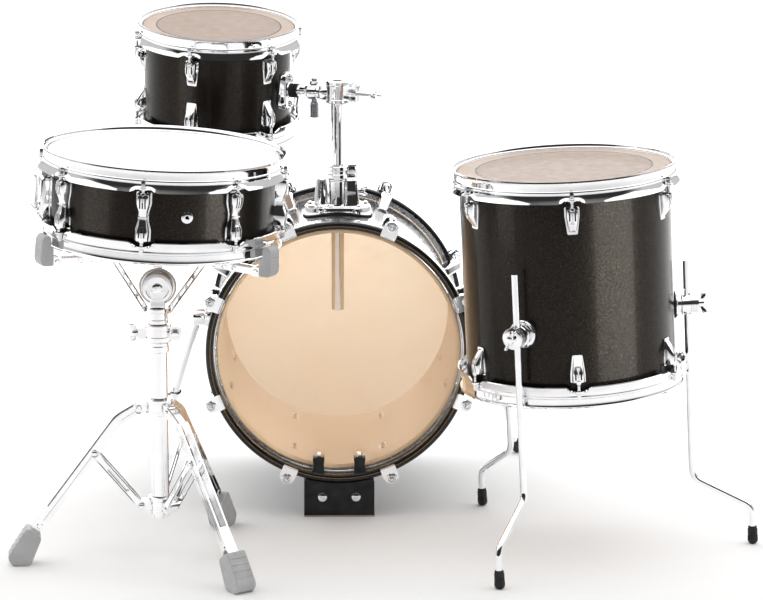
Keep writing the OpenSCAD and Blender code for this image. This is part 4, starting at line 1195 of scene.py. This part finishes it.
def floor_legs():
    """Round cast brackets on rubber pads, with a ribbed boss, and bent rods with ribbed rubber feet."""
    axis = FLOOR.middle.to_3x3() @ Vector((0, 0, 1))
    base = FLOOR.low @ move(0, 0, -281.0)
    r, ring, high, foot = FLOOR.r, 187.0, 388.0, 282.0      # radii of shell, rods and feet; bracket height
    p = Piece("leg_brackets", ROOT, "chrome", CHROME, BLACK_RUBBER)
    pad = moved(turned([(21.2, r - 2), (22.4, r - 0.8), (22.4, r + 1.2), (21.2, r + 1.6)], 56), ON_X)
    saddle = moved(turned([(21.0, r + 1.4), (21.8, r + 2.2), (21.8, r + 3.2), (20.4, r + 4.6),
                           (14.4, r + 5.4), (14.4, ring - 10.4), (17.2, ring - 9.8), (17.8, ring - 9.0),
                           (17.8, ring - 7.6), (15.4, ring - 6.8), (15.4, ring + 5)], 56), ON_X)
    saddle = cut(saddle, moved(turned([(5.35, -40), (5.35, 40)], 40), move(ring, 0, 0)))
    boss = [(9, ring + 4)]
    boss += repeat(ring + 5, ring + 15, 3.1, (17, 0), (17, 1.7), (15.6, 2.1), (15.6, 2.7))
    boss += [(16.2, ring + 17.2), (13.5, ring + 18.2), (8, ring + 18.3)]
    knob = moved(turned(boss, 48), ON_X)
    for a in (0, 120, 240):
        at = base @ turn(a) @ move(0, 0, high)
        p.add(saddle, at).add(knob, at).add(pad, at, mat=1)
    p.done(0.4)

    rubber = turned([(6.2, 29.6), (7.0, 28.6), (7.2, 26), (7.9, 24.4), (7.9, 20.8), (7.2, 20.2),
                     (7.9, 19.6), (7.9, 16), (7.2, 15.4), (8.0, 14.8), (8.4, 7), (7.6, 3.2), (5.6, 1.2),
                     (2.6, 0.1)], 36)
    for side, a in (("right", 0), ("back", 120), ("front", 240)):
        at = base @ turn(a)
        # the foot's ball touches the floor, so the leg slides in its bracket by the lean of the drum
        toe = at @ Vector((foot, 0, 0))
        drop = -toe.z / axis.z
        path = rounded([(ring, 0, 472), (ring, 0, 116), (foot, 0, 62), (foot, 0, 26)], 26, 10)
        rod_solid = sweep([path[0] + Vector((0, 0, 0.8)), *path], 5.25, 28)
        p = Piece(f"leg_{side}", f"{side}_floor_leg", "chrome", CHROME, BLACK_RUBBER)
        p.add(rod_solid, at @ move(0, 0, drop))
        p.add(rubber, at @ move(foot, 0, drop), mat=1).done(bevel=0, angle=60)
        at_wing, out = joint(f"{side}_leg_wing_turn")
        wing_piece(f"leg_wing_{side}", f"{side}_leg_wing", None, (38, 10), along(at_wing, at_wing + out)
                   @ turn(70))


floor_legs()


# ---------------------------------------------------------------- snare drum

SNARE = Drum("snare_shell", 177.8, 127.0, 8, 264, lean((2.3, 3.15, 0)))
GATE = 196.0        # where the strainer stands, and the first gate of the bottom hoop
VENT = 285.0


def snare_drum():
    r, body, low = SNARE.r, "basket", SNARE.low
    vent = low @ turn(VENT) @ move(r, 0, SNARE.depth / 2) @ ON_X
    drill = moved(turned([(4.6, -30), (4.6, 20)], 32), turn(VENT) @ move(r, 0, 0) @ ON_X)
    skin, wood = shell_skins(SNARE)
    p = Piece("snare_shell", body, "sparkle_wrap", SPARKLE, MAPLE)
    p.add(cut(skin, drill), SNARE.middle).add(cut(wood, drill), SNARE.middle, mat=1)
    wrap_only.objects.link(p.done(bevel=0))
    make_heads("snare_heads", body, "white_film", SNARE, [(0.0, 1.0, COATING)], [(0.0, 1.0, BAND)])
    p = Piece("snare_hoops", body, "chrome", CHROME)
    p.add(flanged_hoop(r, SNARE.n, SNARE.first), SNARE.edges[0])
    p.add(flanged_hoop(r, SNARE.n, SNARE.first, (GATE, GATE - 180)), SNARE.edges[1]).done(bevel=0, angle=42)
    p = Piece("snare_lugs", body, "chrome", CHROME, PAINT)
    lugs = SNARE.around(edges=[SNARE.middle])
    for z0, z1 in ((14.4, 30.2), (-30.2, -14.4)):
        # black plates of painted shade on the floors of the lugs' slots
        p.add(both(*lug_slots(r + 14.6, r + 15.6, 4.0, 1.05, z0, z1)), *lugs, mat=1)
    p.add(bow_tie_lug(r, ROD_OUT, 36), *lugs).done(0.4)
    p = Piece("snare_tension_rods", body, "plated_steel", ROD, name="snare_rods")
    p.add(moved(tension_rod(40), move(r + ROD_OUT, 0, 0)), *SNARE.around()).done(0.25)

    at, back = low @ turn(GATE), low @ turn(GATE + 180)
    p = Piece("snare_fittings", body, "chrome", CHROME, STEEL)
    p.add(rings([soft_box(r - 0.6, r + d, w, z) for z, d, w in ((26, 10.5, 12.2), (27.5, 12.2, 13.6),
                                                                (34, 16, 14), (86, 16, 14),
                                                                (90.4, 13.4, 13.4), (92, 10.6, 12))]), at)
    p.add(base_plate(r, rect(-16.5, 16.5, 94, 24)), at)
    for y in (-13, 9):
        p.add(plate(bar((r + 12, 44), (r + 22, 44), 9), y, y + 4), at)
    p.add(turned([(1.4, -13.6), (3.2, -13.2), (3.2, -12.8), (2, -12.6), (2, 12.6), (3.2, 12.8),
                  (3.2, 13.2), (1.4, 13.6)], 24), at @ move(r + 22, 0, 44) @ ON_Y)
    p.add(knurled(48, 0.45, [(5.1, 92.6), (5.6, 93.2), (5.6, 100), (4.7, 101)]), at @ move(r + 7, 0, 0),
          mat=1)
    p.add(rings([soft_box(r - 0.6, r + d, w, z) for z, d, w in ((26, 8.6, 12.4), (27.5, 10.2, 13.6),
                                                                (32, 13, 14), (57, 13, 14),
                                                                (63, 10.4, 13.4), (68, 6.6, 12.4),
                                                                (70, 3.4, 11))]), back)
    p.add(base_plate(r, rect(-16, 16, 72, 24)), back)
    screw = turned([(3.4, -0.6), (3.4, 1.1), (2.6, 2.0), (1.4, 2.1), (1.4, 1.0)], 24)
    for place, x, z in ((at, r + 15.7, 31.6), (back, r + 12.8, 36), (back, r + 12.8, 52)):
        for y in (-7.5, 7.5):
            p.add(screw, place @ move(x, y, z) @ ON_X)
    p.add(lathe([(2.6, -3), (2.6, 2.0), (3.6, 2.7), (6.6, 2.5), (9.0, 1.4), (9.0, 0.3), (4.5, 0.3),
                 (4.5, -3)], 48), vent)
    p.done(0.3)

    p = Piece("snare_lever", "strainer_lever", "chrome", CHROME)
    p.add(turned([(3.6, -8.6), (4.5, -7.8), (4.5, 7.8), (3.6, 8.6)], 32), at @ move(r + 22, 0, 44) @ ON_Y)
    handle = [(45, 0.4, 2.6, 7.0), (49, -0.2, 2.5, 7.6), (56, -0.4, 2.3, 6.4), (72, 0.0, 2.1, 6.0),
              (84, 0.6, 2.1, 7.2), (91, 1.6, 2.0, 8.0), (95, 2.6, 1.7, 7.6), (97, 3.2, 1.1, 6.0)]
    p.add(rings([soft_box(r + 22 + x - t, r + 22 + x + t, w, z, 1.4) for z, x, t, w in handle]), at)
    for z in (66, 70, 74, 78):
        p.add(sweep([(r + 24.0, -5, z), (r + 24.0, 5, z)], 0.8, 10), at)
    p.done(0.3)

    p = Piece("snare_wires", "snare_wire_set", "plated_steel", ROD)
    coil = turned(repeat(-157.0, 157, 1.8, (0.55, 0), (0.85, 0.6), (0.85, 1.2)), 6)
    for i in range(20):
        p.add(coil, at @ move(0, (i - 9.5) * 2.1, -1.4) @ ON_X)
    slot = softened(rect(163.2, 165.6, -3, 3), 1.1)
    end = [(153, -20), (156, -22), (166, -22), (168.4, -19), (168.4, 19), (166, 22), (156, 22), (153, 20)]
    end_plate = moved(plate(softened(end, 1.6), -0.8, 0.9, [[(q, y + s) for q, y in slot]
                                                            for s in (-12, 0, 12)]), ON_Y)
    strap = [(158, 0, -1.5), (r + 7.2, 0, -1.5), (r + 9.2, 0, -0.8), (r + 9.7, 0, 1.4), (r + 9.7, 0, 23)]
    k = len(strap) - 1
    sides = []
    for i, q in enumerate(strap):
        t = (Vector(strap[min(i + 1, k)]) - Vector(strap[max(i - 1, 0)])).normalized()
        across = Vector((-t.z, 0, t.x)) * 0.35
        sides.append([Vector(q) + across * s + Vector((0, y, 0))
                      for s, y in ((1, -10), (1, 10), (-1, 10), (-1, -10))])
    for place in (at, back):
        p.add(end_plate, place @ move(0, 0, -1.5)).add(rings(sides), place)
    p.done(bevel=0)


snare_drum()


# ---------------------------------------------------------------- snare stand

AT_STAND = Matrix.Translation((mid("height_tube").x, mid("height_tube").y, 0))
_, SWING = joint("tripod_leg_a_fold")
SPIN = math.degrees(math.atan2(-SWING.x, SWING.y))
AROUND_STAND = [AT_STAND @ turn(SPIN + 120 * i) for i in range(3)]
PIVOT_Z = corners("height_tube")[1].z - 24

# the tripod's pivots, as (distance from the tube's axis, height)
LEG_PIN, LEG_KNEE, LEG_END = (32, 247), (66, 226), (197.4, 53.2)
BRACE_PIN, BRACE_HEAD = (30, 90), (102.5, 178)


def on_side(point):
    return move(point[0], 0, point[1])


def round_end(p, q, n):
    """Half circle from p to q."""
    c, d = (p + q) / 2, (q - p) / 2
    a = math.atan2(d.y, d.x)
    turns = [a + math.pi * k / n for k in range(n + 1)]
    return [(c.x - d.length * math.cos(t), c.y - d.length * math.sin(t)) for t in turns]


def ribbon(points, w, n=8):
    """Outline of a flat strip along 2-D points, with round ends."""
    points = [Vector(p) for p in points]
    left, right = [], []
    for i, p in enumerate(points):
        a = (p - points[i - 1]).normalized() if i else (points[1] - p).normalized()
        b = (points[i + 1] - p).normalized() if i < len(points) - 1 else a
        t = (a + b).normalized()
        across = Vector((-t.y, t.x)) * (w / 2 / max(0.3, t.dot(a)))
        left.append(p + across)
        right.append(p - across)
    there = [tuple(p) for p in left[1:-1]] + round_end(left[-1], right[-1], n)
    back = [tuple(p) for p in right[-2:0:-1]] + round_end(right[0], left[0], n)
    return there + back


def rivet(r, y0, y1):
    """Domed rivet along Y through the origin."""
    return moved(turned([(r - 1.2, y0), (r, y0 + 0.9), (r, y0 + 1.8), (3.0, y0 + 2.0), (3.0, y1 - 2.0),
                         (r, y1 - 1.8), (r, y1 - 0.9), (r - 1.2, y1)], 32), ON_Y)


def stand_base():
    p = Piece("stand_tube", ROOT, "stand_chrome", PALE, GREY_RUBBER)
    p.add(lathe([(12.3, 70.4), (13.2, 70), (14, 70.8), (14, 337), (12.3, 337)], 64), AT_STAND)
    p.add(lathe([(13.8, 76), (18.2, 76), (19, 76.8), (19, 82), (18.2, 83), (18.2, 97), (19, 98),
                 (19, 103.2), (18.2, 104), (13.8, 104)], 64), AT_STAND)
    cheek = softened(rect(14, 36, 82, 98), 6.5, 5)
    for at in AROUND_STAND:
        p.add(plate(cheek, -9, 9, [circle(*BRACE_PIN, 3.1)]), at)
    p.add(lathe([(11.1, 336.4), (16.0, 336), (17, 337), (17, 346), (16.2, 347), (16.2, 351),
                 (19.8, 352.8), (21, 354.2), (21, 361), (20.2, 362), (20.2, 372), (21, 373), (21, 379.6),
                 (19.8, 381), (11.1, 381)], 72), AT_STAND)
    p.add(slab(-31, -14, 358, 376, 4, -9, 9), AT_STAND)
    for y0, y1 in ((1.3, 8), (-8, -1.3)):
        p.add(slab(14, 36, 356, 378, 5.5, y0, y1), AT_STAND)
    p.add(slab(16, 34.6, 357, 377, 4, -1.4, 1.4), AT_STAND, mat=1)
    p.add(moved(hex_bolt(), ON_Y), AT_STAND @ move(27, -7.8, 367))
    p.done(0.6)

    p = Piece("tripod_slider", "tripod_slider", "stand_chrome", PALE)
    p.add(lathe([(14.1, 236.5), (21, 236), (22, 237.2), (22, 241.5), (21.2, 242.6), (21.2, 255.4),
                 (22, 256.5), (22, 260.8), (20.8, 262), (14.1, 261.6)], 72), AT_STAND)
    for at in AROUND_STAND:
        p.add(slab(17, 38, 239, 255, 6, -5.5, 5.5, [circle(*LEG_PIN, 3.1)], steps=5), at)
    p.done(0.6)


def shrunk(outline, centre, share):
    return [tuple(Vector(p).lerp(Vector(centre), share)) for p in outline]


def tripod():
    knee, end = Vector(LEG_KNEE), Vector(LEG_END)
    d = (end - knee).normalized()
    strap = ribbon([LEG_PIN, (56, 233.6), (61.5, 229.8), LEG_KNEE, (70, 221), LEG_END], 15)
    foot = [(209.9, 62), (187.4, 45.1), (206, 0), (234, 0), (242, 14)]
    for i, side in enumerate("abc"):
        at = AROUND_STAND[i]
        p = Piece(f"tripod_leg_{side}", f"tripod_leg_{side}", "stand_chrome", PALE, GREY_RUBBER)
        for y0, y1 in ((6.2, 9.2), (-9.2, -6.2)):
            p.add(plate(strap, y0, y1, [circle(*BRACE_HEAD, 2.6)]), at)
            # pressed ribs along the outside of the strap, low enough to pass inside the brace
            out = y1 - 0.7 if y0 > 0 else y0 + 0.7
            for a, b in ((knee + d * 62, end - d * 22), (Vector((40, 242)), Vector((60, 229.6)))):
                p.add(sweep([(a.x, out, a.y), (b.x, out, b.y)], 1.1, 12), at)
        p.add(rivet(4.6, -11.0, 11.0), at @ on_side(LEG_PIN))
        p.add(plate(ribbon([knee.lerp(end, 0.8), end], 14.4), -6.4, 6.4), at)
        p.add(plate(softened(foot, 6, 4), -16.2, 16.2), at, mat=1)
        p.add(plate(softened(shrunk(foot, (215, 24), 0.07), 5, 4), -17, 17), at, mat=1)
        for t in (0.2, 0.38, 0.56, 0.74):
            q = Vector(foot[0]).lerp(Vector(foot[4]), t)
            p.add(sweep([(q.x, -14, q.y), (q.x, 14, q.y)], 1.5, 12), at, mat=1)
        p.add(rivet(5.0, -10.6, 10.6), at @ on_side(end - d * 12))
        p.done(0.9)
        p = Piece(f"tripod_brace_{side}", f"tripod_brace_{side}", "stand_chrome", PALE)
        for y0, y1 in ((9.7, 12.2), (-12.2, -9.7)):
            p.add(plate(ribbon([BRACE_PIN, BRACE_HEAD], 12), y0, y1,
                        [bar((52, 116.7), (80, 150.7), 4.4)]), at)
            head = rivet_head(y1 if y0 > 0 else y0)
            p.add(head, at @ on_side(BRACE_HEAD), at @ on_side(BRACE_PIN))
        p.add(turned([(3, -12), (3, 12)], 24), at @ on_side(BRACE_PIN) @ ON_Y)
        p.done(0.6)


def rivet_head(y):
    """Domed head on the face at y, pointing away from y = 0."""
    dome = turned([(4.6, -1.0), (4.8, 0.3), (4.0, 1.2), (2.2, 1.8)], 28)
    return moved(dome, move(0, y, 0) @ turn(-90 if y > 0 else 90, "X"))


def stand_top():
    p = Piece("height_tube", "stand_height_tube", "stand_chrome", PALE, RIM_GREY)
    p.add(lathe([(9.4, 110.4), (10.2, 110), (11, 110.8), (11, 400), (9.4, 400)], 56), AT_STAND)
    p.add(lathe([(10.8, 381.6), (15.6, 381.4), (16.5, 382.4), (16.5, 388), (15.7, 389), (15.7, 399),
                 (16.5, 400), (16.5, 405.4), (15.5, 406.4), (10.8, 406.4)], 64), AT_STAND)
    neck = []
    for z, x, y in ((402, 12, 7.5), (406, 12.4, 7.9), (412, 12, 7.5), (424, 11.6, 7.3),
                    (PIVOT_Z - 4, 12, 7.4)):
        neck.append(soft_box(-x, x, y, z, 3.6))
    p.add(rings(neck), AT_STAND)
    hub = AT_STAND @ move(0, 0, PIVOT_Z) @ ON_Y
    p.add(turned([(20.0, -7.4), (24, -6.6), (24, 5.6), (22.8, 7.2), (18.6, 7.5), (17.6, 6.7), (8.2, 6.5),
                  (7.6, 8.0), (5.6, 8.6), (2.4, 8.8)], 72), hub)
    p.add(lathe([(18.9, 7.2), (23.0, 7.0), (24.3, 5.4), (24.3, -2), (23.6, -2), (18.9, 6.0)], 72), hub,
          mat=1)
    p.add(block(-6, 6, -1.2, 1.2, 7.8, 9.6, 0.8), hub @ turn(38))
    p.done(0.5)

    at_wing, out = joint("stand_wing_turn")
    wing_piece("height_wing", "stand_wing", None, (40, 14), along(at_wing, at_wing + out) @ turn(62),
               "stand_chrome", PALE)


ARMS = {"a": 90, "b": 210, "c": 330}        # directions of the basket's arms, in degrees
STRUT_FOOT, STRUT_HEAD = Vector((15, -44)), Vector((78, 46))


def basket():
    at = SNARE.low @ move(0, 0, -81)
    behind = AT_STAND @ move(0, 0, PIVOT_Z)
    p = Piece("basket_frame", "basket", "stand_chrome", PALE, RIM_GREY)
    # moving disc of the tilter: its ratchet face is next to the fixed disc
    p.add(turned([(27.2, -17.0), (29, -15.6), (29, -9.2), (28.2, -8.0), (24.5, -7.9)], 84), behind @ ON_Y)
    p.add(lathe([(24.6, -7.95), (28.4, -7.95), (29.3, -9.4), (29.3, -13), (24.6, -13)], 84),
          behind @ ON_Y, mat=1)
    p.add(turned([(14, -16.6), (15, -18.2), (11, -20), (4, -20.4)], 48), behind @ ON_Y)
    arm = [[(x * s, y, z * s) for x, z in softened(rect(-9, 9, -11, 11), 3.4, 4)]
           for y, s in ((15, 1.0), (36, 1.0), (41, 0.95), (42.4, 0.8))]
    p.add(rings(arm), behind)
    thread = [(4.0, -86.0)] + repeat(-85.4, 39, 1.7, (4.4, 0), (5.0, 0.7), (4.4, 1.4))
    p.add(turned(thread + [(4.9, 40), (4.9, 44)], 24), at)
    p.add(turned([(6, 38.8), (10.6, 40), (12, 41.4), (12, 55.4), (10.6, 57), (6.4, 57.4), (5.6, 58.6),
                  (3.0, 59.0)], 56), at)
    for a in ARMS.values():
        p.add(slab(8, 26, 42, 56, 5.5, -4, 4, [circle(20, 49, 2.6)], steps=4), at @ turn(a))
    p.done(0.5)

    p = Piece("basket_struts", "basket_nut", "stand_chrome", PALE, GREY_RUBBER)
    p.add(lathe([(5.1, -50), (12, -50), (13, -49), (13, -39), (12, -38), (5.1, -38)], 56), at)
    turns = [math.tau * k / 108 for k in range(108)]
    lobes = [(a, 14.35 - 0.85 * math.cos(9 * a)) for a in turns]      # nine lobes round the knob
    knob = [[((q - e) * math.cos(a), (q - e) * math.sin(a), z) for a, q in lobes]
            for z, e in ((-57.6, 2.0), (-56.6, 0.4), (-51.6, 0), (-50.0, 0.8))]
    p.add(cut(rings(knob), turned([(5.2, -70), (5.2, -30)], 32)), at, mat=1)
    for a in ARMS.values():
        s = -1 if a == ARMS["b"] else 1     # arm b has its strut on the other side
        y0, y1 = sorted((7.6 * s, 10.6 * s))
        l0, l1 = sorted((2.0 * s, 7.8 * s))
        place = at @ turn(a)
        p.add(slab(6, 17, -49, -39, 3.6, l0, l1, steps=4), place)
        d = (STRUT_HEAD - STRUT_FOOT).normalized()
        slots = [bar(STRUT_FOOT + d * q, STRUT_FOOT + d * (q + 13), 3.4) for q in (14, 36, 58, 80)]
        p.add(plate(ribbon([STRUT_FOOT, STRUT_HEAD], 9.4), y0, y1, slots), place)
        head = rivet_head(y1 if s > 0 else y0)
        p.add(head, place @ on_side(STRUT_FOOT), place @ on_side(STRUT_HEAD))
    p.done(0.4)

    grip = [(188.3, 44), (206, 44), (210, 54), (208, 86), (203, 91), (195, 91), (193.2, 86),
            (193.2, 71.7), (188.3, 71.7)]
    web = softened([(15, 45.5), (19, 43), (182, 43), (188, 47), (188, 54.6), (15, 54.6)], 2.4)
    vents = (104, 122, 140)
    for side, a in ARMS.items():
        place = at @ turn(a)
        p = Piece(f"basket_arm_{side}", f"basket_arm_{side}", "stand_chrome", PALE, GREY_RUBBER, STEEL)
        for y0, y1 in ((5.0, 7.0), (-7.0, -5.0)):
            p.add(plate(web, y0, y1, [circle(x, 48.2, 3.3) for x in vents]), place)
        eyelet = lathe([(3.3, 0), (4.6, 0), (4.3, 0.5), (3.4, 0.6)], 28)
        for s in (1, -1):
            p.add(eyelet, *[place @ move(x, 7.0 * s, 48.2) @ turn(-90 * s, "X") for x in vents])
        top = [[(x, y, z) for y, z in softened([(-7, 52.4), (-7, 55), (7, 55), (7, 52.4)], 0.9)]
               for x in (29.5, 187.6)]
        p.add(rings(top), place)
        p.add(turned([(2.4, -7.4), (3.6, -7.2), (2.5, -6.8), (2.5, 6.8), (3.6, 7.2), (2.4, 7.4)], 24),
              place @ move(20, 0, 49) @ ON_Y)
        p.add(plate(softened([(172, 41.4), (186, 41.4), (189.4, 46), (189.4, 56.6), (172, 56.6)], 4),
                    -8.4, 8.4), place)
        p.add(rivet(4.2, -9.6, 9.6), place @ move(180, 0, 49))
        p.add(plate(softened(grip, 3.4, 4), -12.4, 12.4), place, mat=1)
        p.add(plate(softened(shrunk(grip, (199.6, 66), 0.045), 3, 4), -13, 13), place, mat=1)
        for z in range(56, 82, 5):
            x = 209.6 - (z - 54) / 16
            p.add(sweep([(x, -9.6, z), (x, 9.6, z)], 1.0, 10), place, mat=1)
        p.done(0.8)


stand_base()
tripod()
stand_top()
basket()
